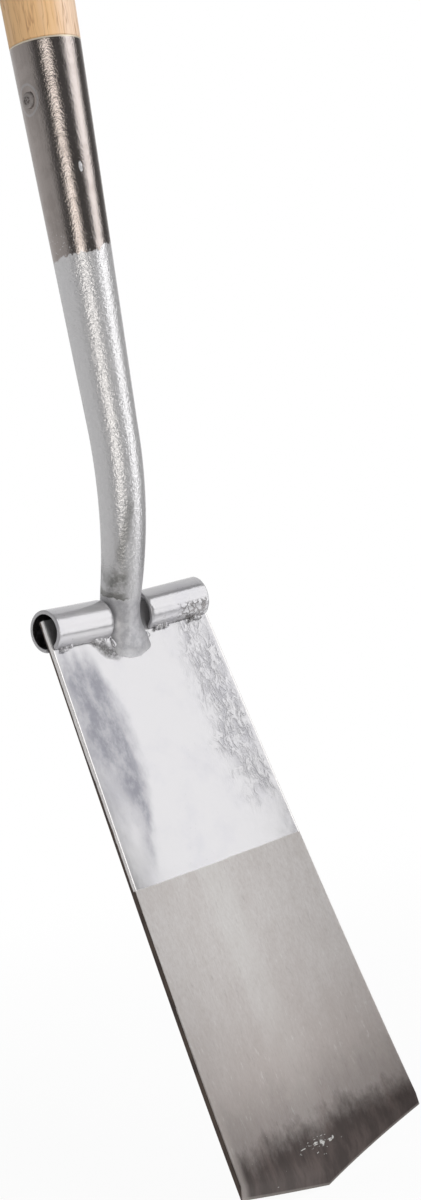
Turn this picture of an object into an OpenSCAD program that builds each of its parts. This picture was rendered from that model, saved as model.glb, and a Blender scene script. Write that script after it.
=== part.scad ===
// Trenching spade: a dished blade with tubular foot treads, a swan-neck socket and an ash T-handle.
// Frame: the shaft axis is +Z, X runs across the blade, and the hollow face of the blade looks along -Y.
// The origin lies on the shaft axis, at the lower end of the plain round stretch that a tool clip grips.

/* [Blade] */
// Width of the blade at the tread axis
blade_top_w = 115; // [90:1:150]
// Width of the blade across the lower corners
blade_tip_w = 134; // [100:1:170]
// Length from the tread axis to the lower corners
blade_l = 300; // [200:5:380]
// How far the point reaches below the corners
point_depth = 15; // [5:1:30]
// Thickness of the sheet
blade_t = 3.5; // [2.5:0.1:5]
// Height of the top edge above the tread axis
top_edge_up = 6; // [3:0.5:8]
// Radius of the hollow at the tread axis
dish_r_top = 380; // [350:10:900]
// Radius of the hollow at the lower corners
dish_r_tip = 166; // [130:2:260]
// Width of the ground bevel along the cutting edge
bevel_w = 6; // [3:0.5:10]
// Thickness left at the cutting edge
edge_t = 1.2; // [0.6:0.1:2]

/* [Treads] */
// Outer diameter of a tread tube
tread_od = 23.5; // [20:0.5:28]
// Wall of a tread tube
tread_wall = 2.4; // [1.6:0.1:3.2]
// Distance from the middle plane to the inner end of a tread tube
tread_inner_x = 15; // [13:0.5:22]
// How far a tread tube stops short of the blade's side
tread_inset = 0.5; // [0:0.5:6]
// Free width of the slot behind the blade
slot_gap = 1.6; // [0.3:0.1:2.5]

/* [Neck and socket] */
// Outer radius of the socket at its mouth
mouth_r = 20.8; // [18:0.5:25]
// Outer radius where the straight socket meets the neck
root_r = 14.1; // [13.5:0.1:17]
// Outer radius of the neck's lower end, before it is pressed flat
foot_r = 10.8; // [9:0.1:11.5]
// Half width of the flattened foot at its end
foot_spread = 15.5; // [13:0.1:18]
// Half depth of the flattened foot at its end
foot_flat = 3.2; // [3:0.1:6]
// Wall of the neck and socket
socket_wall = 2.5; // [1.8:0.1:3.2]
// Length of the straight, conical socket
socket_l = 226; // [160:2:280]
// Length of the foot below the tread axis
foot_l = 25; // [20:1:40]
// Distance below the tread axis at which the foot begins to bend forward
foot_bend_down = 8; // [3:1:12]
// Radius of the forward bend above the foot
foot_bend_r = 25; // [20:1:40]
// Steepest angle of the neck to the blade
neck_angle = 40; // [30:1:48]
// Straight length between the two bends
neck_straight = 10.7; // [2:0.1:30]
// Radius of the long bend that leads to the socket
neck_bend_r = 226; // [120:2:320]
// Angle of the shaft to the blade
lift = 18.2; // [8:0.2:26]

/* [Rivet] */
// Distance of the rivet below the socket mouth
rivet_down = 33; // [20:1:60]
// Diameter of the rivet shank
rivet_d = 6; // [4:0.5:8]
// Diameter of a rivet head
rivet_head_d = 9.5; // [8.5:0.5:13]
// Height of a rivet head
rivet_head_h = 2; // [1:0.1:3]
// Depth of the pressed dimple round a head
dimple_depth = 1.2; // [0.6:0.1:1.5]
// Radius of the dimple's bowl
dimple_r = 30; // [15:1:60]

/* [Shaft] */
// Length of the shaft inside the socket
seat_l = 190; // [120:5:210]
// Length of the shaft from the socket mouth to the clip stretch
swell_l = 40; // [20:1:80]
// Radius of the plain clip stretch
clip_r = 21.7; // [19:0.1:26]
// Length of the plain clip stretch
clip_l = 60; // [40:1:90]
// Length of the slender stretch above the clip stretch
slim_l = 405; // [250:5:650]
// Radius of the shaft below the grip
shaft_top_r = 17.5; // [15:0.5:18.5]

/* [Grip] */
// How far the crosspiece is let down over the shaft's shoulder
grip_seat = 2.5; // [1:0.5:4]
// Length of the crosspiece
grip_l = 130; // [100:2:160]
// Largest radius of the crosspiece
grip_r = 19; // [17.5:0.5:24]
// Radius of the crosspiece near its ends
grip_end_r = 15; // [12:0.5:17]
// Rounding of the crosspiece ends
grip_round = 6; // [3:0.5:9]
// Radius of the tenon
tenon_r = 11; // [8:0.5:13]
// Thickness of the wedge at its head
wedge_t = 4; // [2.5:0.5:6]
// Depth of the wedge in the tenon
wedge_l = 26; // [16:1:32]

/* [Welds] */
// Radius of a weld bead
bead_r = 3.2; // [2.4:0.1:4]
// Length of an outer tack on a tread
tack_l = 10; // [5:0.5:16]
// Distance of an outer tack from the tube's end
tack_inset = 3.5; // [3:0.5:8]

/* [Fits] */
// Clearance of wood and steel in the socket
seat_gap = 0.15; // [0.05:0.05:0.4]
// Clearance of the blade in the slots
sheet_gap = 0.1; // [0.05:0.05:0.3]
// Clearance of the rivet shank
rivet_gap = 0.08; // [0.05:0.01:0.2]
// Clearance of the tenon in the crosspiece
tenon_gap = 0.1; // [0.05:0.05:0.3]

/* [Hidden] */
$fn = 96;
FN_DISH = 720;
SIDES = 48;
FOOT_STEPS = 7;
BEND_STEPS = 9;
NECK_STEPS = 14;
REACH = 20;
LEFT = -1;
RIGHT = 1;
FRONT = 1;
BACK = -1;

// The blade's own frame: x across, y up the blade from the tread axis, z towards the hollow face.
// The hollow is part of a cone whose straight middle line runs from the tread to the point.
sag_top = pow(blade_top_w, 2) / (8 * dish_r_top);
sag_tip = pow(blade_tip_w, 2) / (8 * dish_r_tip);
mid_tilt = atan((sag_tip - sag_top) / blade_l);
mid_l = blade_l / cos(mid_tilt);
cone_half = atan((dish_r_top - dish_r_tip) / mid_l);
apex_below = dish_r_tip / tan(cone_half);
cone_h = (apex_below + mid_l + blade_tip_w) * cos(cone_half);
function mid_z(y) = -sag_top + y * tan(mid_tilt);
function half_w(y) = blade_top_w / 2 - y * (blade_tip_w - blade_top_w) / (2 * blade_l);
function tread_z(x) = -sag_top + x * x / (2 * dish_r_top);
point_angle = atan(point_depth / (blade_tip_w / 2));
bevel_angle = atan((blade_t - edge_t) / bevel_w);

// Tread tubes follow the hollow: each lies on the chord between its ends.
tread_outer_x = blade_top_w / 2 - tread_inset;
tread_run = tread_outer_x - tread_inner_x;
tread_rise = tread_z(tread_outer_x) - tread_z(tread_inner_x);
tread_yaw = atan(tread_rise / tread_run);
tread_l = tread_run / cos(tread_yaw);

// The neck's centre line in the blade's y and z: foot, forward bend, straight, long bend, socket.
foot_end = [-foot_l, mid_z(-foot_l)];
bend_start = [-foot_bend_down, mid_z(-foot_bend_down)];
function turn_fore(p, a0, a1, r) = p + r * [sin(a1) - sin(a0), cos(a0) - cos(a1)];
function turn_back(p, a0, a1, r) = p + r * [sin(a0) - sin(a1), cos(a1) - cos(a0)];
bend_end = turn_fore(bend_start, mid_tilt, neck_angle, foot_bend_r);
neck_start = bend_end + neck_straight * [cos(neck_angle), sin(neck_angle)];
socket_start = turn_back(neck_start, neck_angle, lift, neck_bend_r);
mouth = socket_start + socket_l * [cos(lift), sin(lift)];
run_foot = (foot_l - foot_bend_down) / cos(mid_tilt);
run_bend = foot_bend_r * (neck_angle - mid_tilt) * PI / 180;
run_neck = neck_bend_r * (neck_angle - lift) * PI / 180;
run_all = run_bend + neck_straight + run_neck;
// Outer radius at a distance along the bends: the neck swells soon after the foot.
SWELL_POWER = 1.4;
function neck_r(run) = root_r - (root_r - foot_r) * pow(1 - run / run_all, SWELL_POWER);

// The foot is pressed flat and spreads towards its end; the flattening fades out in the forward bend.
FLAT_POWER = 1.2;
FLAT_BEND = 0.5;
BORE_MIN = 0.3;
run_flat = run_foot + FLAT_BEND * run_bend;
function flat(run) = run < run_flat ? pow(1 - run / run_flat, FLAT_POWER) : 0;
function half_wide(run, r) = r + (foot_spread - foot_r) * flat(run);
function half_deep(run, r) = r - (foot_r - foot_flat) * flat(run);

// Stations of the neck: centre y, centre z, heading, half width and half depth.
function station(p, a, run, r) = concat(p, a, half_wide(run, r), half_deep(run, r));
function foot_station(share) =
    station(foot_end + (bend_start - foot_end) * share, mid_tilt, run_foot * share, foot_r);
function fore_station(a) =
    let (run = foot_bend_r * (a - mid_tilt) * PI / 180)
        station(turn_fore(bend_start, mid_tilt, a, foot_bend_r), a, run_foot + run, neck_r(run));
function back_station(a) =
    let (run = run_bend + neck_straight + neck_bend_r * (neck_angle - a) * PI / 180)
        station(turn_back(neck_start, neck_angle, a, neck_bend_r), a, run_foot + run, neck_r(run));
stations = concat(
    [for (i = [0:FOOT_STEPS - 1]) foot_station(i / FOOT_STEPS)],
    [for (i = [0:BEND_STEPS]) fore_station(mid_tilt + (neck_angle - mid_tilt) * i / BEND_STEPS)],
    [for (i = [0:NECK_STEPS]) back_station(neck_angle + (lift - neck_angle) * i / NECK_STEPS)],
    [station(mouth, lift, run_foot + run_all + socket_l, mouth_r)]);
function ring(s, inward) = [
    for (k = [0:SIDES - 1])
        let (t = 360 * k / SIDES, u = (s[3] - inward) * cos(t), v = max(s[4] - inward, BORE_MIN) * sin(t))
            [u, s[0] - v * sin(s[2]), s[1] + v * cos(s[2])]];

// Half width of the foot where it meets the face of the blade.
function foot_edge(y) =
    let (run = run_foot * (y + foot_l) / (foot_l - foot_bend_down), rise = blade_t / 2 + sheet_gap)
        half_wide(run, foot_r) * sqrt(1 - pow(rise / half_deep(run, foot_r), 2));

// Places along the shaft axis, measured from the origin.
mouth_z = -swell_l;
rivet_z = mouth_z - rivet_down;
seat_z = mouth_z - seat_l;
slim_z = clip_l + slim_l;
socket_taper = (mouth_r - root_r) / socket_l;
rivet_socket_r = mouth_r - rivet_down * socket_taper;
seat_mouth_r = mouth_r - socket_wall - seat_gap;
seat_end_r = seat_mouth_r - seat_l * socket_taper;
grip_z = slim_z + grip_r - grip_seat;
tenon_l = 2 * grip_r - grip_seat;
rivet_floor_x = rivet_socket_r - dimple_depth;

// Puts the blade's frame in the shaft's frame: the socket mouth lands on the shaft axis.
module in_blade_frame() {
    drop_y = mouth[0] * sin(lift) - mouth[1] * cos(lift);
    drop_z = mouth[0] * cos(lift) + mouth[1] * sin(lift);
    translate([0, -drop_y, mouth_z - drop_z]) rotate([90 - lift, 0, 0]) children();
}

// Solid cone inside the hollow, moved towards the hollow side by a distance square to its surface.
module dish_cone(fore) {
    translate([0, -blade_l, -sag_tip]) rotate([mid_tilt, 0, 0]) translate([0, -apex_below, 0])
        rotate([cone_half - 90, 0, 0]) translate([0, 0, fore / sin(cone_half)])
            cylinder(h = cone_h, r1 = 0, r2 = cone_h * tan(cone_half), $fn = FN_DISH);
}

// The sheet's thickness, made thicker by the given amounts on its hollow and its round side.
module sheet(front_extra = 0, back_extra = 0) {
    difference() {
        dish_cone(-blade_t / 2 - back_extra);
        dish_cone(blade_t / 2 + front_extra);
    }
}

module blade_outline() {
    polygon([
        [-half_w(top_edge_up), top_edge_up], [half_w(top_edge_up), top_edge_up],
        [half_w(-blade_l), -blade_l], [0, -blade_l - point_depth], [-half_w(-blade_l), -blade_l]]);
}

// Ground bevel on the hollow face of one half of the point.
module bevel_cut(side) {
    bevel_y = -blade_l - point_depth / 2 + bevel_w;
    bevel_mid = [side * blade_tip_w / 4, bevel_y, -sag_tip * 3 / 4 + blade_t / 2];
    intersection() {
        translate(bevel_mid) rotate([0, 0, side * point_angle]) rotate([bevel_angle, 0, 0])
            rotate([0, 0, -side * point_angle]) translate(-bevel_mid) dish_cone(blade_t / 2);
        translate([side > 0 ? 0 : -blade_tip_w, -blade_l - 2 * point_depth - REACH, -blade_tip_w / 2])
            cube([blade_tip_w, 3 * point_depth + REACH + bevel_w, blade_tip_w]);
    }
}

module blade() {
    color("silver") in_blade_frame() difference() {
        intersection() {
            sheet();
            translate([0, 0, -blade_tip_w / 2]) linear_extrude(height = blade_tip_w) blade_outline();
        }
        bevel_cut(LEFT);
        bevel_cut(RIGHT);
    }
}

// Lays something that points along +z on a tread tube's axis, from its inner end outwards.
module on_tread_axis(side) {
    translate([side * tread_inner_x, 0, tread_z(tread_inner_x)])
        rotate([0, side * (90 - tread_yaw), 0]) children();
}

module tread(side) {
    color("gainsboro") in_blade_frame() difference() {
        on_tread_axis(side) difference() {
            cylinder(h = tread_l, d = tread_od);
            translate([0, 0, -REACH]) cylinder(h = tread_l + 2 * REACH, d = tread_od - 2 * tread_wall);
        }
        intersection() {
            sheet(sheet_gap, slot_gap);
            translate([-blade_tip_w, -tread_od, -tread_od]) cube([2 * blade_tip_w, tread_od, 2 * tread_od]);
        }
    }
}

// Skin of the neck between two sets of rings, closed by flat rims at both ends.
module neck_loft(wall) {
    n = len(stations);
    outer = [for (s = stations) each ring(s, 0)];
    inner = [for (s = stations) each ring(s, wall)];
    base = n * SIDES;
    skin = [
        for (i = [0:n - 2], k = [0:SIDES - 1])
            let (a = i * SIDES + k, b = i * SIDES + (k + 1) % SIDES)
                each [[a, a + SIDES, b], [b, a + SIDES, b + SIDES]]];
    bore = [for (f = skin) [f[0] + base, f[2] + base, f[1] + base]];
    rims = [
        for (k = [0:SIDES - 1])
            let (a = k, b = (k + 1) % SIDES, c = (n - 1) * SIDES)
                each [
                    [a, b, a + base], [b, b + base, a + base],
                    [c + a, c + a + base, c + b], [c + b, c + a + base, c + b + base]]];
    polyhedron(points = concat(outer, inner), faces = concat(skin, bore, rims));
}

module rivet_bore(gap) {
    translate([-mouth_r - REACH, 0, rivet_z]) rotate([0, 90, 0])
        cylinder(h = 2 * (mouth_r + REACH), d = rivet_d + 2 * gap);
}

// Ball that presses the dimple round a rivet head.
module dimple_bowl(side) {
    translate([side * (rivet_floor_x + dimple_r), 0, rivet_z]) sphere(r = dimple_r);
}

module neck_socket() {
    color("lightgray") difference() {
        in_blade_frame() difference() {
            neck_loft(socket_wall);
            intersection() {
                sheet(sheet_gap, sheet_gap);
                translate([-tread_outer_x, -foot_l - REACH, -tread_od])
                    cube([2 * tread_outer_x, foot_l + REACH + top_edge_up + sheet_gap, 2 * tread_od]);
            }
        }
        rivet_bore(rivet_gap);
        for (side = [LEFT, RIGHT]) dimple_bowl(side);
    }
}

module handle_shaft() {
    color("burlywood") difference() {
        rotate_extrude() polygon([
            [0, seat_z], [seat_end_r, seat_z], [seat_mouth_r, mouth_z], [mouth_r, mouth_z],
            [clip_r, 0], [clip_r, clip_l], [shaft_top_r, slim_z], [tenon_r, slim_z],
            [tenon_r, slim_z + tenon_l], [0, slim_z + tenon_l]]);
        rivet_bore(rivet_gap);
        wedge_form();
    }
}

// Half profile of the rivet as [radius, distance]: shank, seat in the dimple's bowl and domed head.
RIVET_STEPS = 6;
function bowl_rise(r) = dimple_r - sqrt(pow(dimple_r, 2) - pow(r, 2));
rivet_head_r = rivet_head_d / 2;
rivet_profile = concat(
    [for (i = [0:RIVET_STEPS])
        let (r = rivet_d / 2 + (rivet_head_r - rivet_d / 2) * i / RIVET_STEPS)
            [r, rivet_floor_x + bowl_rise(r)]],
    [for (i = [1:RIVET_STEPS])
        let (a = 90 * i / RIVET_STEPS, rim = bowl_rise(rivet_head_r))
            [rivet_head_r * cos(a), rivet_floor_x + rim + (rivet_head_h - rim) * sin(a)]]);

module socket_rivet() {
    other_end = [for (i = [len(rivet_profile) - 1:-1:0]) [rivet_profile[i][0], -rivet_profile[i][1]]];
    color("dimgray") translate([0, 0, rivet_z]) rotate([0, 90, 0])
        rotate_extrude() polygon(concat(rivet_profile, other_end));
}

// Half profile of the crosspiece: a slow barrel with round ends.
function barrel_r(x) = grip_end_r + (grip_r - grip_end_r) * cos(90 * x / (grip_l / 2));
BARREL_STEPS = 12;
ROUND_STEPS = 6;
grip_profile = concat(
    [for (i = [0:2 * BARREL_STEPS])
        let (x = (grip_l / 2 - grip_round) * (i / BARREL_STEPS - 1)) [barrel_r(x), x]],
    [for (i = [1:ROUND_STEPS])
        let (a = 90 * i / ROUND_STEPS, x = grip_l / 2 - grip_round)
            [barrel_r(x) - grip_round * (1 - cos(a)), x + grip_round * sin(a)]],
    [[0, grip_l / 2], [0, -grip_l / 2]],
    [for (i = [ROUND_STEPS:-1:1])
        let (a = 90 * i / ROUND_STEPS, x = grip_l / 2 - grip_round)
            [barrel_r(x) - grip_round * (1 - cos(a)), -x - grip_round * sin(a)]]);

module grip_crosspiece() {
    color("burlywood") difference() {
        translate([0, 0, grip_z]) rotate([0, 90, 0]) rotate_extrude() polygon(grip_profile);
        translate([0, 0, slim_z - REACH]) cylinder(h = tenon_l + 2 * REACH, r = tenon_r + tenon_gap);
        translate([0, 0, slim_z - REACH]) cylinder(h = REACH, r = shaft_top_r + seat_gap);
    }
}

// Wedge across the grain of the crosspiece, thick at its head.
module wedge_form() {
    translate([0, tenon_r, slim_z + tenon_l]) rotate([90, 0, 0]) linear_extrude(height = 2 * tenon_r)
        polygon([[-wedge_t / 2, 0], [wedge_t / 2, 0], [0, -wedge_l]]);
}

module grip_wedge() {
    color("saddlebrown") intersection() {
        wedge_form();
        translate([0, 0, slim_z]) cylinder(h = tenon_l, r = tenon_r);
    }
}

// A bead is a spindle with pointed ends, later cut back to the steel it lies against.
BEAD_STEPS = 8;
module bead(from, to) {
    v = to - from;
    profile = [for (i = [0:BEAD_STEPS]) [bead_r * sin(180 * i / BEAD_STEPS), norm(v) * i / BEAD_STEPS]];
    translate(from) rotate([0, acos(v[2] / norm(v)), atan2(v[1], v[0])])
        rotate_extrude($fn = 32) polygon(profile);
}

// Outer and inner tacks between a tread tube and the blade.
module weld_tread(side, face) {
    drop = -tread_od / 2;
    off = face * (blade_t / 2 + bead_r / 3);
    starts = [tread_outer_x - tack_inset - tack_l, tread_inner_x + tack_inset];
    color("darkgray") in_blade_frame() difference() {
        for (x = starts) bead(
            [side * x, drop, tread_z(x) + off], [side * (x + tack_l), drop, tread_z(x + tack_l) + off]);
        on_tread_axis(side) translate([0, 0, -REACH]) cylinder(h = tread_l + 2 * REACH, d = tread_od);
        sheet();
    }
}

// Outline of the foot on the face of the blade, from its end up to the treads.
EDGE_STEPS = 4;
weld_low = -foot_l;
weld_high = -tread_od / 2 - sheet_gap;
function edge_y(i) = weld_low + (weld_high - weld_low) * i / EDGE_STEPS;
module foot_outline() {
    polygon(concat(
        [for (i = [0:EDGE_STEPS]) [foot_edge(edge_y(i)), edge_y(i)]],
        [for (i = [EDGE_STEPS:-1:0]) [-foot_edge(edge_y(i)), edge_y(i)]]));
}

// Beads along both sides of the foot, on one face of the blade.
module weld_foot(face) {
    aside = bead_r / 4;
    off = face * (blade_t / 2 + bead_r / 3);
    color("darkgray") in_blade_frame() difference() {
        for (side = [LEFT, RIGHT]) bead(
            [side * (foot_edge(weld_low) + aside), weld_low, mid_z(weld_low) + off],
            [side * (foot_edge(weld_high) + aside), weld_high, mid_z(weld_high) + off]);
        translate([0, 0, -REACH]) linear_extrude(height = 2 * REACH) foot_outline();
        sheet();
    }
}

module tread_left() { tread(LEFT); }
module tread_right() { tread(RIGHT); }
module weld_tread_left_front() { weld_tread(LEFT, FRONT); }
module weld_tread_left_back() { weld_tread(LEFT, BACK); }
module weld_tread_right_front() { weld_tread(RIGHT, FRONT); }
module weld_tread_right_back() { weld_tread(RIGHT, BACK); }
module weld_foot_front() { weld_foot(FRONT); }
module weld_foot_back() { weld_foot(BACK); }

blade();
tread_left();
tread_right();
neck_socket();
handle_shaft();
socket_rivet();
grip_crosspiece();
grip_wedge();
weld_tread_left_front();
weld_tread_left_back();
weld_tread_right_front();
weld_tread_right_back();
weld_foot_front();
weld_foot_back();
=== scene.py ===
"""Trenching spade: the visual pieces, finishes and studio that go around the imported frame."""

import math
from types import SimpleNamespace

import bmesh
import bpy
import numpy as np
from bpy.props import FloatProperty, FloatVectorProperty, IntProperty, PointerProperty
from mathutils import Color, Euler, Matrix, Vector


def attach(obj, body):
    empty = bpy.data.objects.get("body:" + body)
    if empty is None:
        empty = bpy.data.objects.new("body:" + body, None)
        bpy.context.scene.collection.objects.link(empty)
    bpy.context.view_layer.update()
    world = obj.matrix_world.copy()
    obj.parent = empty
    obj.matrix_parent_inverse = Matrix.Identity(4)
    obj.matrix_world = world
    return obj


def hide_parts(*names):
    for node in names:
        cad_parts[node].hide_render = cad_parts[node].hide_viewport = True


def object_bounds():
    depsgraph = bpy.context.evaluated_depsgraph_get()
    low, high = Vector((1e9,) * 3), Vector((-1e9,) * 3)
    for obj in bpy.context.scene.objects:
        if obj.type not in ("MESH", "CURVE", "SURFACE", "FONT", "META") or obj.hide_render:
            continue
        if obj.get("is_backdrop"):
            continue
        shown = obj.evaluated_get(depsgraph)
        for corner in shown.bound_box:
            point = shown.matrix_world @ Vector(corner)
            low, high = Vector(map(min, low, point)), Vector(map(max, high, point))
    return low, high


bl_info = {
    "name": "Trenching Spade",
    "version": (1, 0, 0),
    "blender": (4, 5, 0),
    "location": "View3D > Sidebar > Spade",
    "description": "Builds the visual pieces of a trenching spade around its packed frame",
    "category": "Add Mesh",
}

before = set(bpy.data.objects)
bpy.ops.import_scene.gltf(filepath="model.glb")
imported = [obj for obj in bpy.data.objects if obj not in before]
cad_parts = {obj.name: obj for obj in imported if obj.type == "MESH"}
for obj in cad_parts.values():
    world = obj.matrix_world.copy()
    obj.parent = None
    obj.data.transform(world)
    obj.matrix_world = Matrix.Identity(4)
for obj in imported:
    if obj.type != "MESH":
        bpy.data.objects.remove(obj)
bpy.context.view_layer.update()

LEFT, RIGHT = -1, 1
FRONT, BACK = 1, -1
HANDS = ((LEFT, "left"), (RIGHT, "right"))
FACES = ((FRONT, "front"), (BACK, "back"))

# A splash of silver on the dark socket, and bare flakes in the stain near the blade's point
FLECK_PLACE = (-0.0050, -0.0178, -0.1163)
FLAKES_PLACE = (0.001, -0.294, 0.0)
# Ends of the olive streak of painted shade, a dark reflection, in the neck's bend
SHADE_STREAK_TOP = Vector((-0.0030, -0.0107, -0.3000))
SHADE_STREAK_END = Vector((-0.0092, 0.0021, -0.3355))
# Dark patch left of the foot, on the blade
DARK_PATCH_PLACE = (-0.0175, -0.0180, 0.0)
DARK_PATCH_TURN = math.radians(32)
# Half the blur of the paint's lower edge
PAINT_BLUR = 0.0004
# Fold on the front of the neck: its run above the flattened foot, the height and reach of its
# ridge and valley, and how it fades from the left to the right
FOLD_RUN = 0.0130
RIDGE, RIDGE_REACH = 0.0006, 0.006
VALLEY, VALLEY_REACH = 0.0011, 0.007
FOLD_RIGHT_SHARE, FOLD_START, FOLD_FADE = 0.1, 0.001, 0.010
# Length over which the foot's end runs out thin, and what is left outside the slot there
FOOT_RUNOUT, FOOT_SKIN = 0.006, 0.0001
# Rivet dimples: blur of their rim, and how far from the rivet the wall may be pressed
DIMPLE_BLUR, DIMPLE_REACH, DIMPLE_DEPTH_REACH = 0.0006, 0.016, 0.004
# How far cutting tools stand out
TOOL_REACH = 0.020
# Welds: share of the bead's radius in a ripple, pitch in radii, melting grain, and end margin
RIPPLE_SHARE, RIPPLE_PITCH, MELT_GRAIN, TACK_MARGIN = 0.6, 0.40, 0.00032, 0.0015


# Property helpers
def length(label, millimetres, text):
    """Length property, given in millimetres and kept in metres."""
    return FloatProperty(
        name=label,
        description=text,
        default=millimetres / 1000,
        unit="LENGTH",
        subtype="DISTANCE",
        precision=5,
    )


def angle(label, degrees, text):
    """Angle property, given in degrees and kept in radians."""
    return FloatProperty(
        name=label,
        description=text,
        default=math.radians(degrees),
        unit="ROTATION",
        subtype="ANGLE",
    )


def linear(channel):
    """Linear light of one 0 to 255 display channel."""
    c = channel / 255
    return c / 12.92 if c <= 0.04045 else ((c + 0.055) / 1.055) ** 2.4


def tint(label, red, green, blue, text):
    """Colour property, given as display values from 0 to 255."""
    return FloatVectorProperty(
        name=label,
        description=text,
        subtype="COLOR",
        size=3,
        min=0.0,
        max=1.0,
        default=(linear(red), linear(green), linear(blue)),
    )


class SpadeSizes(bpy.types.PropertyGroup):
    """Sizes of the spade, the same as in the solid model."""

    blade_top_width: length("Blade top width", 115, "Width of the blade at the tread axis")
    blade_tip_width: length("Blade tip width", 134, "Width across the lower corners")
    blade_length: length("Blade length", 300, "From the tread axis to the lower corners")
    point_depth: length("Point depth", 15, "How far the point reaches below the corners")
    blade_thickness: length("Blade thickness", 3.5, "Thickness of the sheet")
    top_edge_up: length("Top edge", 6, "Height of the top edge above the tread axis")
    dish_radius_top: length("Dish radius, top", 380, "Radius of the hollow at the tread")
    dish_radius_tip: length("Dish radius, tip", 166, "Radius of the hollow at the corners")
    bevel_width: length("Bevel width", 6, "Width of the ground bevel on the cutting edge")
    edge_thickness: length("Edge thickness", 1.2, "Thickness left at the cutting edge")
    tread_diameter: length("Tread diameter", 23.5, "Outer diameter of a tread tube")
    tread_wall: length("Tread wall", 2.4, "Wall of a tread tube")
    tread_inner: length("Tread inner end", 15, "Middle plane to a tread tube's inner end")
    tread_inset: length("Tread inset", 0.5, "How far a tread stops short of the side")
    slot_front: length("Slot front", 1.95, "Tube axis to the slot's edge on the hollow side")
    slot_back: length("Slot back", 3.9, "Tube axis to the slot's edge on the round side")
    mouth_radius: length("Mouth radius", 20.8, "Outer radius of the socket at its mouth")
    root_radius: length("Root radius", 14.1, "Outer radius where the socket meets the neck")
    foot_radius: length("Foot radius", 10.8, "Outer radius of the foot")
    socket_wall: length("Socket wall", 2.5, "Wall of the neck and socket")
    socket_length: length("Socket length", 226, "Length of the straight, conical socket")
    foot_spread: length("Foot spread", 15.5, "Half width of the flattened foot at its end")
    foot_flat: length("Foot flat", 3.2, "Half height of the flattened foot at its end")
    foot_length: length("Foot length", 25, "Length of the foot below the tread axis")
    foot_bend_down: length("Foot bend", 8, "Where the foot begins to bend forward")
    foot_bend_radius: length("Foot bend radius", 25, "Radius of the bend above the foot")
    neck_angle: angle("Neck angle", 40, "Steepest angle of the neck to the blade")
    neck_straight: length("Neck straight", 10.7, "Straight length between the two bends")
    neck_bend_radius: length("Neck bend radius", 226, "Radius of the long bend")
    lift: angle("Lift", 18.2, "Angle of the shaft to the blade")
    sheet_gap: length("Sheet gap", 0.1, "Clearance of the blade in the foot's slot")
    rivet_down: length("Rivet depth", 33, "Distance of the rivet below the socket mouth")
    rivet_diameter: length("Rivet diameter", 6, "Diameter of the rivet shank")
    rivet_head: length("Rivet head", 9.5, "Diameter of a rivet head")
    rivet_head_height: length("Rivet head height", 2, "Height of a rivet head")
    dimple_depth: length("Dimple depth", 1.2, "Depth of the dimple round a rivet head")
    dimple_radius: length("Dimple radius", 30, "Radius of the dimple's bowl")
    seat_length: length("Seat length", 190, "Length of the shaft inside the socket")
    swell_length: length("Swell length", 40, "Socket mouth to the plain clip stretch")
    clip_radius: length("Clip radius", 21.7, "Radius of the plain clip stretch")
    clip_length: length("Clip length", 60, "Length of the plain clip stretch")
    slim_length: length("Slim length", 405, "Length of the slender stretch above it")
    shaft_top_radius: length("Shaft top radius", 17.5, "Radius of the shaft below the grip")
    grip_seat: length("Grip seat", 2.5, "How far the crosspiece is let down over the shoulder")
    grip_length: length("Grip length", 130, "Length of the crosspiece")
    grip_radius: length("Grip radius", 19, "Largest radius of the crosspiece")
    grip_end_radius: length("Grip end radius", 15, "Radius of the crosspiece near its ends")
    grip_round: length("Grip rounding", 6, "Rounding of the crosspiece ends")
    tenon_radius: length("Tenon radius", 11, "Radius of the tenon")
    tenon_gap: length("Tenon gap", 0.1, "Clearance of the tenon")
    wedge_thickness: length("Wedge thickness", 4, "Thickness of the wedge at its head")
    wedge_length: length("Wedge length", 26, "Depth of the wedge in the tenon")
    seat_gap: length("Seat gap", 0.15, "Clearance of wood and steel in the socket")
    bead_radius: length("Bead radius", 3.2, "Radius of a weld bead")
    tack_length: length("Tack length", 10, "Length of a tack on a tread")
    tack_inset: length("Tack inset", 3.5, "Distance of a tack from the tube's end")
    bead_seed: IntProperty(name="Bead seed", description="Seed of the ripples", default=7)


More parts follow.
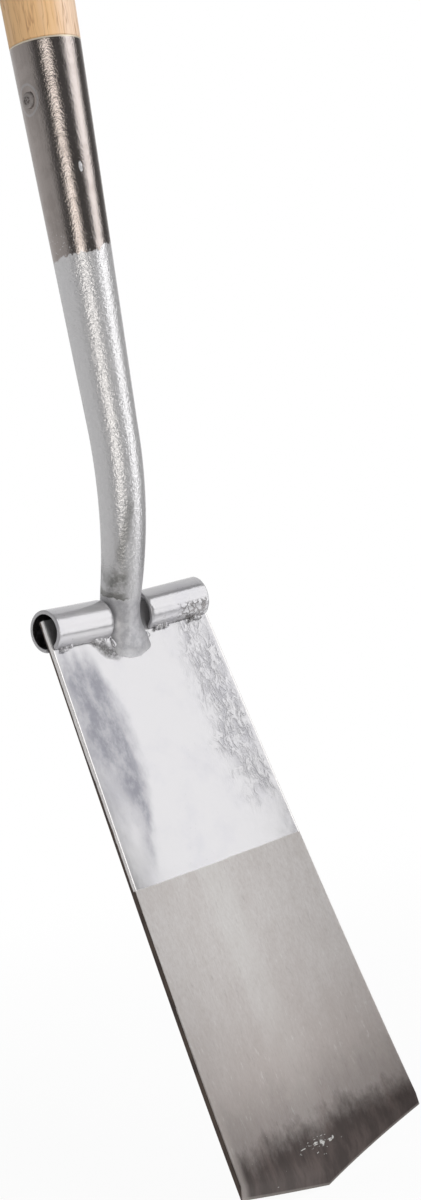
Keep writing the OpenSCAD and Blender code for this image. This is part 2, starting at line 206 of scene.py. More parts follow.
class SpadeFinishes(bpy.types.PropertyGroup):
    """Colours of the finishes and where one finish meets the next."""

    silver: tint("Silver paint", 198, 197, 199, "Silver lacquer on blade, treads and neck")
    neck_silver: tint("Neck lacquer", 235, 234, 235, "Brighter lacquer of the neck")
    silver_shade: tint("Silver shade", 186, 185, 191, "Thin, bluish places in the lacquer")
    # Thin lacquer and lacquer dust, and also painted shade: the blade's left band, between its leaf
    # marks and up the neck's right side
    thin_silver_and_shade: tint("Thin silver", 130, 130, 138, "Thin lacquer on the blade's left and the neck")
    # Painted highlight on the rim of the socket mouth
    mouth_rim_highlight: tint("Socket rim", 224, 212, 188, "Bright rim of the socket mouth")
    raw_steel: tint("Socket steel", 196, 187, 183, "Bare, lacquered steel of the socket")
    raw_dark: tint("Socket scale", 96, 84, 76, "Brown mill scale on the socket")
    ground: tint("Ground steel", 222, 219, 218, "Ground lower half of the blade")
    ground_warm: tint("Ground shade", 190, 182, 178, "Warm streaks in the ground steel")
    # Pale steel of strokes and flakes, and the painted reflection in the pale lane
    ground_pale_and_sheen: tint("Ground streak", 232, 232, 230, "Pale streak down the ground steel")
    ground_low: tint("Ground, low", 176, 165, 160, "Warmer, darker steel above the stain")
    stain_pale: tint("Heat stain, pale", 99, 87, 84, "Paler smears in the stain")
    stain: tint("Heat stain", 66, 57, 55, "Brown-black stain along the cutting edge")
    edge_steel: tint("Edge steel", 168, 162, 156, "Bright ground bevel")
    # Painted sheen: the rosy colour of the ash's lit side
    ash_rosy_sheen: tint("Ash, rosy", 234, 206, 180, "Rosy streaks in the ash")
    ash_line: tint("Ash, pore lines", 170, 125, 88, "Thin dark lines along the ash grain")
    ash_pale: tint("Ash", 222, 181, 131, "Early wood of the ash")
    ash_dark: tint("Ash grain", 201, 156, 110, "Late wood of the ash")
    # Painted shade: olive dark for the fold, its notch, the foot's flank, the bend's streak and a
    # dark reflection above the fold
    fold: tint("Fold dirt", 104, 104, 94, "Olive dirt in the fold above the foot")
    # Painted highlight on the blade's front corners; also the light lacquer on the front of the
    # sides
    lacquer_and_corner_highlight: tint("Bright corner", 236, 233, 232, "Worn front corner of the blade's sides")
    blade_side: tint("Blade side", 92, 80, 73, "Brown steel on the blade's side edges")
    bore: tint("Bore steel", 40, 37, 36, "Bare steel inside the tread tubes")
    rivet_steel: tint("Rivet steel", 172, 165, 162, "Hammered rivet")
    wedge_wood: tint("Wedge wood", 128, 88, 60, "Hardwood wedge")
    paint_edge: length("Paint edge", 144.6, "Tread axis to the lower edge of the paint")
    socket_band: length("Socket band", 122, "Bare steel below the socket mouth")


class SpadeStudio(bpy.types.PropertyGroup):
    """Camera, floor and light."""

    camera_place: FloatVectorProperty(
        name="Camera place",
        description="Place of the camera",
        size=3,
        unit="LENGTH",
        subtype="TRANSLATION",
        default=(-0.69372, -0.81999, -0.30968),
    )
    azimuth: angle("Azimuth", -43.815, "Side from which the camera looks")
    elevation: angle("Elevation", -5.723, "Height of the camera over the object")
    roll: angle("Roll", -10.389, "Turn of the camera about its own axis")
    lens: FloatProperty(
        name="Lens", description="Focal length in millimetres", default=57.0, subtype="NONE"
    )
    shift: FloatProperty(
        name="Shift", description="Upright shift of the lens", default=-0.25, subtype="FACTOR"
    )
    light: FloatProperty(
        name="Studio light", description="Strength of the studio round", default=1.7, min=0.0
    )
    key: FloatProperty(
        name="Key light", description="Power of the key lamp", default=24.0, subtype="POWER"
    )
    floor_white: FloatProperty(
        name="Floor white",
        description="Share of plain white in what the camera sees of the floor",
        default=0.94,
        subtype="FACTOR",
    )


# Measures that follow from the sizes
def measures():
    """Sizes, and what follows from them in the blade's frame and along the shaft."""
    s = bpy.context.scene.spade_sizes
    g = SimpleNamespace(s=s)
    g.sag_top = s.blade_top_width**2 / (8 * s.dish_radius_top)
    g.sag_tip = s.blade_tip_width**2 / (8 * s.dish_radius_tip)
    g.tilt = math.atan((g.sag_tip - g.sag_top) / s.blade_length)
    mid_length = s.blade_length / math.cos(g.tilt)
    g.cone_half = math.atan((s.dish_radius_top - s.dish_radius_tip) / mid_length)
    below = s.dish_radius_tip / math.tan(g.cone_half)
    g.apex_y = -s.blade_length - below * math.cos(g.tilt)
    g.apex_z = -g.sag_tip - below * math.sin(g.tilt)
    g.point_angle = math.atan(s.point_depth / (s.blade_tip_width / 2))
    g.tread_outer = s.blade_top_width / 2 - s.tread_inset
    rise = tread_height(g, g.tread_outer) - tread_height(g, s.tread_inner)
    g.tread_yaw = math.atan2(rise, g.tread_outer - s.tread_inner)
    g.tread_length = (g.tread_outer - s.tread_inner) / math.cos(g.tread_yaw)
    g.foot_run = (s.foot_length - s.foot_bend_down) / math.cos(g.tilt)
    g.fore_run = s.foot_bend_radius * (s.neck_angle - g.tilt)
    g.back_run = s.neck_bend_radius * (s.neck_angle - s.lift)
    g.flat_run = g.foot_run + 0.5 * g.fore_run
    g.crease_run = g.flat_run + FOLD_RUN
    g.neck_run = g.foot_run + g.fore_run + s.neck_straight + g.back_run + s.socket_length
    mouth = neck_station(g, g.neck_run)
    turn = Matrix.Rotation(math.pi / 2 - s.lift, 4, "X")
    landed = turn @ Vector((0, mouth.y, mouth.z))
    g.mouth_z = -s.swell_length
    g.blade_place = Vector((0, -landed.y, g.mouth_z - landed.z))
    g.to_part = Matrix.Translation(g.blade_place) @ turn
    g.rivet_z = g.mouth_z - s.rivet_down
    taper = (s.mouth_radius - s.root_radius) / s.socket_length
    g.rivet_floor = s.mouth_radius - s.rivet_down * taper - s.dimple_depth
    g.seat_mouth = s.mouth_radius - s.socket_wall - s.seat_gap
    g.seat_end = g.seat_mouth - s.seat_length * taper
    g.slim_z = s.clip_length + s.slim_length
    g.grip_z = g.slim_z + s.grip_radius - s.grip_seat
    g.top_z = g.grip_z + s.grip_radius
    return g


def tread_height(g, x):
    """Height of the sheet's middle on the tread axis."""
    return -g.sag_top + x * x / (2 * g.s.dish_radius_top)


def middle_height(g, y):
    """Height of the sheet on the blade's middle line."""
    return -g.sag_top + y * math.tan(g.tilt)


def half_width(g, y):
    """Half the blade's width at a height on the blade."""
    s = g.s
    widening = s.blade_tip_width - s.blade_top_width
    return s.blade_top_width / 2 - y * widening / (2 * s.blade_length)


def neck_station(g, run):
    """Centre, heading and outer radius of the neck at a distance from the foot's end."""
    s = g.s
    swell_power, flat_power = 1.4, 1.2
    y, z, a = -s.foot_length, middle_height(g, -s.foot_length), g.tilt
    radius = s.foot_radius
    left = run
    step = min(left, g.foot_run)
    y, z, left = y + step * math.cos(a), z + step * math.sin(a), left - step
    bends = g.fore_run + s.neck_straight + g.back_run
    if left > 0:
        share = min(left / bends, 1.0)
        radius = s.root_radius - (s.root_radius - s.foot_radius) * (1 - share) ** swell_power
    step = min(left, g.fore_run)
    b = a + step / s.foot_bend_radius
    y += s.foot_bend_radius * (math.sin(b) - math.sin(a))
    z += s.foot_bend_radius * (math.cos(a) - math.cos(b))
    a, left = b, left - step
    step = min(left, s.neck_straight)
    y, z, left = y + step * math.cos(a), z + step * math.sin(a), left - step
    step = min(left, g.back_run)
    b = a - step / s.neck_bend_radius
    y += s.neck_bend_radius * (math.sin(a) - math.sin(b))
    z += s.neck_bend_radius * (math.cos(b) - math.cos(a))
    a, left = b, left - step
    if left > 0:
        radius = s.root_radius + (s.mouth_radius - s.root_radius) * left / s.socket_length
        y, z = y + left * math.cos(a), z + left * math.sin(a)
    flat = max(0.0, 1 - run / g.flat_run) ** flat_power
    wide = radius + (s.foot_spread - s.foot_radius) * flat
    deep = radius - (s.foot_radius - s.foot_flat) * flat
    return SimpleNamespace(y=y, z=z, heading=a, radius=radius, wide=wide, deep=deep)


def foot_edge(g, y):
    """Half width of the flattened foot where it meets the face of the blade."""
    s = g.s
    p = neck_station(g, (y + s.foot_length) / math.cos(g.tilt))
    return p.wide * math.sqrt(1 - (s.blade_thickness / 2 / p.deep) ** 2)


def sheet_points(g, x, y, out):
    """Points on the dished sheet, a distance out from its middle towards the hollow side."""
    sa, ca = math.sin(g.cone_half), math.cos(g.cone_half)
    st, ct = math.sin(g.tilt), math.cos(g.tilt)
    k = sa * sa - ca * ca
    z = -g.sag_top + y * math.tan(g.tilt)
    for _ in range(8):
        along = (y - g.apex_y) * ct + (z - g.apex_z) * st
        deep = ca * (np.sqrt(sa * sa * along**2 + k * x**2) - sa * along) / k
        z = g.apex_z + (deep + (y - g.apex_y) * st) / ct
    nx, na, nd = -ca * ca * x, sa * ca * deep, k * deep + sa * ca * along
    size = np.sqrt(nx**2 + na**2 + nd**2)
    nx, na, nd = nx / size, na / size, nd / size
    return np.stack(
        [x + out * nx, y + out * (na * ct - nd * st), z + out * (na * st + nd * ct)], axis=-1
    )


# Mesh helpers
def add_object(name, data):
    """New object at the scene's origin."""
    obj = bpy.data.objects.new(name, data)
    bpy.context.scene.collection.objects.link(obj)
    return obj


def new_mesh(name, points, faces, matrix=None):
    """Closed mesh object at the origin, its faces pointing outwards."""
    mesh = bpy.data.meshes.new(name)
    mesh.from_pydata([tuple(map(float, p)) for p in points], [], faces)
    if matrix is not None:
        mesh.transform(matrix)
    work = bmesh.new()
    work.from_mesh(mesh)
    bmesh.ops.recalc_face_normals(work, faces=work.faces)
    work.to_mesh(mesh)
    work.free()
    return add_object(name, mesh)


def settle(obj):
    """Turns an object with modifiers into a plain mesh."""
    graph = bpy.context.evaluated_depsgraph_get()
    mesh = bpy.data.meshes.new_from_object(obj.evaluated_get(graph))
    old = obj.data
    obj.modifiers.clear()
    obj.data = mesh
    if old.users == 0:
        bpy.data.meshes.remove(old)


def soften(obj, width, steps=3, degrees=32):
    """Rounds the sharp edges."""
    bevel = obj.modifiers.new("Soft edges", "BEVEL")
    bevel.width = width
    bevel.segments = steps
    bevel.limit_method = "ANGLE"
    bevel.angle_limit = math.radians(degrees)
    bevel.use_clamp_overlap = True
    settle(obj)


def cut(obj, *tools, operation="DIFFERENCE"):
    """Takes the tools' shapes away from the object, or trims it to them, and removes the tools."""
    for tool in tools:
        step = obj.modifiers.new("Cut", "BOOLEAN")
        step.operation = operation
        step.solver = "EXACT"
        step.object = tool
    settle(obj)
    for tool in tools:
        mesh = tool.data
        bpy.data.objects.remove(tool)
        bpy.data.meshes.remove(mesh)


def shade_smooth(obj, degrees=34):
    """Smooth shading, with creases kept at sharp edges."""
    mesh = obj.data
    mesh.shade_smooth()
    mesh.set_sharp_from_angle(angle=math.radians(degrees))
    return obj


def dress(obj, materials, node):
    """Gives a piece its materials and puts it in the place of its node."""
    mesh = obj.data
    if len(mesh.polygons) == 0:
        raise RuntimeError(obj.name + " has no faces")
    index = np.zeros(len(mesh.polygons), dtype=np.int32)
    if len(materials) > 1:
        mesh.polygons.foreach_get("material_index", index)
    mesh.materials.clear()
    for material in materials:
        mesh.materials.append(material)
    mesh.polygons.foreach_set("material_index", index)
    mesh.update()
    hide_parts(node)
    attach(obj, "root")


def grid_faces(rows, columns, start=0, wrap=False):
    """Quads of a grid of points; wrap joins the last column to the first."""
    last = columns if wrap else columns - 1
    return [
        (
            start + i * columns + j,
            start + i * columns + (j + 1) % columns,
            start + (i + 1) * columns + (j + 1) % columns,
            start + (i + 1) * columns + j,
        )
        for i in range(rows - 1)
        for j in range(last)
    ]


def slab(g, name, x, y, fore, aft):
    """Closed slab between two layers of the dished sheet over a grid of places."""
    rows, columns = x.shape
    front = sheet_points(g, x, y, fore).reshape(-1, 3)
    back = sheet_points(g, x, y, aft).reshape(-1, 3)
    count = rows * columns
    faces = grid_faces(rows, columns) + [f[::-1] for f in grid_faces(rows, columns, count)]
    rim = list(range(columns))
    rim += [i * columns + columns - 1 for i in range(1, rows)]
    rim += [(rows - 1) * columns + j for j in range(columns - 2, -1, -1)]
    rim += [i * columns for i in range(rows - 2, 0, -1)]
    for a, b in zip(rim, rim[1:] + rim[:1]):
        faces.append((a, b, b + count, a + count))
    return new_mesh(name, np.concatenate([front, back]), faces, g.to_part)


def turned(name, profile, axis, place, sides=72):
    """Body turned from a closed half profile of (radius, distance) pairs about an axis."""
    points, faces, rings = [], [], []
    for radius, far in profile:
        if radius < 1e-9:
            rings.append([len(points)])
            points.append((0.0, 0.0, far))
            continue
        rings.append(list(range(len(points), len(points) + sides)))
        for k in range(sides):
            a = 2 * math.pi * k / sides
            points.append((radius * math.cos(a), radius * math.sin(a), far))
    for low, high in zip(rings, rings[1:]):
        for k in range(sides):
            m = (k + 1) % sides
            if len(low) == 1:
                faces.append((low[0], high[m], high[k]))
            elif len(high) == 1:
                faces.append((low[k], low[m], high[0]))
            else:
                faces.append((low[k], low[m], high[m], high[k]))
    turn = Vector((0, 0, 1)).rotation_difference(Vector(axis)).to_matrix().to_4x4()
    return new_mesh(name, points, faces, Matrix.Translation(place) @ turn)


def rod(name, radius, start, end, sides=48):
    """Plain round cutting tool between two points."""
    start, end = Vector(start), Vector(end)
    far = (end - start).length
    profile = [(0.0, 0.0), (radius, 0.0), (radius, far), (0.0, far)]
    return turned(name, profile, (end - start).normalized(), start, sides)


def rivet_bore(g, wide):
    """Cutting tool for the rivet's hole, so far out on both sides."""
    ends = (-wide, 0, g.rivet_z), (wide, 0, g.rivet_z)
    return rod("bore_tool", g.s.rivet_diameter / 2, *ends)


# Node helpers
class Amount:
    """Number in a node tree, for plain arithmetic."""

    def __init__(self, tree, socket):
        self.tree, self.socket = tree, socket

    def __add__(self, other):
        return self.tree.sum("ADD", self, other)

    def __sub__(self, other):
        return self.tree.sum("SUBTRACT", self, other)

    def __rsub__(self, other):
        return self.tree.sum("SUBTRACT", other, self)

    def __mul__(self, other):
        return self.tree.sum("MULTIPLY", self, other)

    def __truediv__(self, other):
        return self.tree.sum("DIVIDE", self, other)

    def __pow__(self, other):
        return self.tree.sum("POWER", self, other)

    def __abs__(self):
        return self.tree.sum("ABSOLUTE", self)

    def window(self, low, high, soft=True):
        """Rise from 0 to 1 between two values."""
        node = self.tree.add(
            "ShaderNodeMapRange",
            {"Value": self, "From Min": low, "From Max": high},
            interpolation_type="SMOOTHSTEP" if soft else "LINEAR",
        )
        return Amount(self.tree, node.outputs["Result"])

    def blend(self, first, second):
        """Mix of two numbers, with this one as the share of the second."""
        inputs = {0: self, 2: first, 3: second}
        node = self.tree.add("ShaderNodeMix", inputs, data_type="FLOAT")
        return Amount(self.tree, node.outputs[0])


class Place(Amount):
    """Point in a node tree."""

    def joined(self, operation, other):
        """Vector math with another point."""
        node = self.tree.add("ShaderNodeVectorMath", {0: self, 1: other}, operation=operation)
        return Place(self.tree, node.outputs[0])

    def __add__(self, other):
        return self.joined("ADD", other)

    def __sub__(self, other):
        return self.joined("SUBTRACT", other)

    def __mul__(self, stretch):
        return self.joined("MULTIPLY", stretch)

    def length(self):
        """Distance from the origin."""
        node = self.tree.add("ShaderNodeVectorMath", {0: self}, operation="LENGTH")
        return Amount(self.tree, node.outputs["Value"])

    def away(self, centre, stretch):
        """Distance from a centre, with the axes stretched."""
        return ((self - centre) * stretch).length()

    def rotated(self, turn):
        """Point turned about the origin."""
        node = self.tree.add("ShaderNodeMapping", {"Vector": self, "Rotation": turn})
        return Place(self.tree, node.outputs["Vector"])

    def parts(self):
        """The point's three numbers."""
        outputs = self.tree.add("ShaderNodeSeparateXYZ", {0: self}).outputs
        return [Amount(self.tree, outputs[i]) for i in range(3)]

    def pattern(self, scale, detail, rough, twist):
        """Outputs of a noise texture."""
        inputs = {"Vector": self, "Scale": scale, "Detail": detail}
        inputs.update({"Roughness": rough, "Distortion": twist})
        return self.tree.add("ShaderNodeTexNoise", inputs).outputs

    def noise(self, scale, detail=3.0, rough=0.5, twist=0.0):
        """Noise from 0 to 1."""
        return Amount(self.tree, self.pattern(scale, detail, rough, twist)["Fac"])

    def swirl(self, scale, detail):
        """Noise of its own along each axis."""
        return Place(self.tree, self.pattern(scale, detail, 0.5, 0.0)["Color"])

    def cells(self, scale, feature="F1"):
        """Distance in a cell pattern."""
        inputs = {"Vector": self, "Scale": scale}
        node = self.tree.add("ShaderNodeTexVoronoi", inputs, feature=feature)
        return Amount(self.tree, node.outputs["Distance"])


class Tree:
    """Short way of writing a node tree."""

    def __init__(self, tree, material=None):
        self.nodes, self.links, self.material = tree.nodes, tree.links, material

    def put(self, socket, value):
        """Links a socket, or sets its value."""
        if isinstance(value, Amount):
            value = value.socket
        if isinstance(value, bpy.types.NodeSocket):
            self.links.new(value, socket)
        else:
            socket.default_value = (*value, 1.0) if isinstance(value, Color) else value

    def add(self, kind, inputs=None, **settings):
        """New node with its settings and inputs."""
        node = self.nodes.new(kind)
        for key, value in settings.items():
            setattr(node, key, value)
        for key, value in (inputs or {}).items():
            self.put(node.inputs[key], value)
        return node

    def sum(self, operation, a, b=0.0, clamp=False):
        """Math node."""
        node = self.add("ShaderNodeMath", {0: a, 1: b}, operation=operation, use_clamp=clamp)
        return Amount(self, node.outputs[0])

    def largest(self, first, *others):
        """Largest of some numbers."""
        for other in others:
            first = self.sum("MAXIMUM", first, other)
        return first

    def mix(self, share, first, second):
        """Mix of two colours."""
        inputs = {0: share, 6: first, 7: second}
        return self.add("ShaderNodeMix", inputs, data_type="RGBA").outputs[2]

    def paint(self, base, *coats):
        """Colour under some coats, each given as cover and colour."""
        for cover, coat in coats:
            base = self.mix(cover, base, coat)
        return base

    def between(self, share, first, second):
        """Mix of two vectors."""
        inputs = {0: share, 4: first, 5: second}
        return self.add("ShaderNodeMix", inputs, data_type="VECTOR").outputs[1]

    def bump(self, height, distance, strength=1.0, under=None):
        """Bump of a height from 0 to 1 over a distance in metres."""
        inputs = {"Height": height, "Distance": distance, "Strength": strength}
        if under is not None:
            inputs["Normal"] = under
        return self.add("ShaderNodeBump", inputs).outputs["Normal"]

    def mark(self, name):
        """Number that a piece's points carry."""
        return Amount(self, self.add("ShaderNodeAttribute", attribute_name=name).outputs["Fac"])

    def object_place(self):
        """Object coordinates."""
        return Place(self, self.add("ShaderNodeTexCoord").outputs["Object"])

    def blade_place(self, g):
        """Object coordinates turned into the blade's frame."""
        inputs = {"Vector": self.object_place(), "Location": tuple(g.blade_place)}
        inputs["Rotation"] = (math.pi / 2 - g.s.lift, 0.0, 0.0)
        node = self.add("ShaderNodeMapping", inputs, vector_type="TEXTURE")
        return Place(self, node.outputs["Vector"])

    def seen(self):
        """Share of rays that show a thing to the camera, and the ray's other kinds."""
        path = self.add("ShaderNodeLightPath").outputs
        return self.largest(path["Is Camera Ray"], path["Is Transmission Ray"]), path

    def surface(self, **inputs):
        """Closes a material with one principled shader, keys with _ for spaces; returns it."""
        shader = self.add("ShaderNodeBsdfPrincipled")
        for key, value in inputs.items():
            self.put(shader.inputs[key.replace("_", " ")], value)
        self.add("ShaderNodeOutputMaterial", {"Surface": shader.outputs["BSDF"]})
        return self.material


def new_material(name):
    """Tree of an empty material, and the finishes."""
    material = bpy.data.materials.new(name)
    material.use_nodes = True
    material.node_tree.nodes.clear()
    return Tree(material.node_tree, material), bpy.context.scene.spade_finishes


# Finishes
def lacquer_relief(tree, place, coarse, share=1.0):
    """Peel and scattered pits of the lacquer: pit cover and normal."""
    peel = place.noise(560.0, 3.0, 0.6) * share
    scatter = place.noise(48.0, 2.0).window(0.54, 0.70)
    pits = (1.0 - place.cells(420.0).window(0.10, 0.24)) * scatter
    normal = tree.bump(place.noise(110.0, 2.0), 0.0005, 0.2)
    normal = tree.bump(peel, 0.00030 * coarse, 1.0, normal)
    return pits, tree.bump(pits, -0.0003, min(coarse, 0.4), normal)


def lacquer_colour(tree, place, f, pits):
    """Silver with cloudy thin places and dark pits."""
    cloud = place.noise(45.0, 4.0, 0.6).window(0.45, 0.80)
    return tree.paint(f.silver, (cloud * 0.6, f.silver_shade), (pits * 0.35, f.raw_dark))


def silver_lacquer(g, name):
    """Glossy silver lacquer over steel, with crusted runs by the outer tack on the right."""
    tree, f = new_material(name)
    place = tree.blade_place(g)
    x, y, _ = place.parts()
    pits, normal = lacquer_relief(tree, place, 0.16)
    bent = place + place.swirl(240.0, 2.0) * (0.006, 0.006, 0.006)
    crust = x.window(0.032, 0.038) * x.window(0.057, 0.053) * y.window(-0.0035, -0.0065)
    crack = bent.cells(230.0, "DISTANCE_TO_EDGE").window(0.09, 0.03) * crust
    return tree.surface(
        Base_Color=tree.mix(crack * 0.45, lacquer_colour(tree, place, f, pits), f.raw_dark),
        Metallic=0.55,
        Roughness=place.noise(210.0, 3.0).blend(0.09, 0.16),
        Normal=tree.bump(crack, -0.0006, 0.7, normal),
    )


def bore_steel(g, name, cover, lit):
    """Dull, dark steel inside a tread tube, dusted with lacquer; where lit is given, painted light
    makes its upper side light and matt.
    """
    tree, f = new_material(name)
    place = tree.blade_place(g)
    _, y, _ = place.parts()
    # Painted light: the upper side of the bore lighter and matt, by the share lit
    high = y.window(-0.005, 0.003) * lit
    dust = place.noise(260.0, 4.0, 0.65).window(0.45, 0.75)
    base = tree.mix(dust.blend(cover - 0.1, cover + 0.2), f.bore, f.thin_silver_and_shade)
    return tree.surface(
        Base_Color=tree.mix(high, base, f.neck_silver),
        Metallic=high.blend(0.6, 0.0),
        Roughness=dust.blend(0.45, 0.7),
    )


def bend_reflection_shade(tree, place, z):
    """Cover of the thin, olive streak of painted shade, standing for a dark reflection, that runs
    down the outside of the neck's bend.
    """
    share = z.window(SHADE_STREAK_TOP.z, SHADE_STREAK_END.z, soft=False)
    away = place.away(tree.between(share, SHADE_STREAK_TOP, SHADE_STREAK_END), (1.0, 1.0, 0.0))
    stray = place.noise(160.0, 4.0, 0.6) - 0.5
    cover = (away + stray * 0.004).window(0.0042, 0.0008)
    ends = share.window(0.0, 0.35) * z.window(SHADE_STREAK_END.z - 0.010, SHADE_STREAK_END.z)
    return cover * ends * 0.45


def neck_finish(g):
    """Silver neck that ends in a ragged line under the bare, dark socket."""
    tree, f = new_material("silver_neck_dark_socket")
    place = tree.object_place()
    x, y, z = place.parts()

    # Distance above the fold, along the neck
    fold = neck_station(g, g.crease_run)
    at = g.to_part @ Vector((0, fold.y, fold.z))
    up = g.to_part.to_3x3() @ Vector((0, math.cos(fold.heading), math.sin(fold.heading)))
    stray = place.noise(260.0, 4.0, 0.65) - 0.5
    past = y * up.y + z * up.z - up.dot(at) + stray * 0.006
    below = past.window(0.001, -0.002)

    # Bare socket, with specks and a fleck of silver on it
    ragged = (place * (1.0, 1.0, 0.45)).noise(150.0, 4.0, 0.65) - 0.5
    edge = g.mouth_z - f.socket_band
    bare = (z + ragged * 0.012 - x * 0.22).window(edge - 0.0008, edge + 0.0008)
    near = 1.0 - z.window(edge, edge + 0.022)
    specks = (1.0 - place.cells(520.0).window(0.10, 0.26)) * (near * 0.8)
    bare = tree.sum("SUBTRACT", bare, specks, clamp=True)
    fleck = place.away(FLECK_PLACE, (1.0, 0.5, 0.35)) + ragged * 0.0012
    bare = tree.sum("SUBTRACT", bare, fleck.window(0.0012, 0.0008), clamp=True)

    # Scaly steel, with painted highlights: a light ring on the edge of the rivet's dimple, and a
    # bright line on the mouth's rim
    streaks = (place * (1.0, 1.0, 0.06)).noise(420.0, 3.0)
    scale = place.noise(80.0, 4.0, 0.6).window(0.42, 0.62)
    # Painted highlight: lighter ring on the edge of the rivet's dimple
    ring = place.away((0.0, 0.0, g.rivet_z), (0.0, 1.0, 0.8)) + ragged * 0.0015
    worn = ring.window(0.0062, 0.0068) * ring.window(0.0080, 0.0073)
    # Painted highlight along the rim of the mouth
    rim = z.window(g.mouth_z - 0.0012, g.mouth_z - 0.0007)
    steel = tree.paint(
        f.raw_steel,
        (streaks.blend(0.0, 0.2), f.raw_dark),
        (scale * 0.12, f.raw_dark),
        (worn * 0.5, f.silver),
        (rim * 0.8, f.mouth_rim_highlight),
    )
    steel_normal = tree.bump(place.noise(950.0, 3.0, 0.6), 0.00017, 0.9)
    steel_normal = tree.bump(scale, 0.00010, 0.5, steel_normal)

    # Painted shade in the fold and in a notch at its left, a painted dark reflection in a patch
    # above it, and painted shade on the foot's left flank
    line = past.window(-0.0005, 0.0001) * past.window(0.0013, 0.0003)
    line = line * x.window(-0.001, -0.007).blend(0.04, 0.85)
    left = x.window(-0.0035, -0.0075) * x.window(-0.0128, -0.0112)
    notch = past.window(-0.0005, 0.0003) * past.window(0.0048, 0.0022) * left * 0.7
    smear = place.noise(90.0, 4.0, 0.65).window(0.36, 0.56)
    above = past.window(0.002, 0.006) * past.window(0.022, 0.011) * left * smear
    flank_shade = x.window(-0.0105, -0.0145) * past.window(-0.030, -0.022)
    painted_shade = tree.largest(line, above * 0.7, notch, below * flank_shade * 0.55)

    # Dull, mottled foot, thin lacquer at the neck's end, and painted shade up its right side
    dull = below * past.window(-0.046, -0.040)
    mottle = place.noise(240.0, 4.0, 0.65).window(0.36, 0.64).blend(0.16, 0.50)
    mottle = mottle * (past + stray * 0.010).window(-0.040, -0.026)
    end = past.window(0.028, 0.008)
    # Painted shade up the right side of the neck's lower end
    right = x.window(-0.004, 0.001) * past.window(0.065, 0.020)
    pits, silver_normal = lacquer_relief(tree, place, 1.6, below.blend(1.0, 0.15))
    silver = tree.paint(
        lacquer_colour(tree, place, f, pits * 0.5),
        (0.75, f.neck_silver),
        # Painted shade in the fold and on the foot's flank, and a painted dark reflection above the
        # fold
        (painted_shade, f.fold),
        # Painted shade: a dark reflection down the outside of the bend
        (bend_reflection_shade(tree, place, z), f.fold),
        (dull * mottle, f.thin_silver_and_shade),
        # Painted shade up the right side, and thin lacquer at the end
        (right.blend(end * 0.12, 0.30), f.thin_silver_and_shade),
    )
    silver_rough = end.blend(place.noise(210.0, 3.0).blend(0.14, 0.22), 0.36)
    return tree.surface(
        Base_Color=tree.mix(bare, silver, steel),
        Metallic=bare.blend(dull.blend(0.62, 0.42), rim.blend(1.0, 0.3)),
        Roughness=bare.blend(dull.blend(silver_rough, 0.46), streaks.blend(0.08, 0.14)),
        Normal=tree.between(bare, silver_normal, steel_normal),
    )


def above_paint_edge(f, height):
    """Cover of the paint, by height on the blade."""
    return height.window(-f.paint_edge - PAINT_BLUR, -f.paint_edge + PAINT_BLUR)


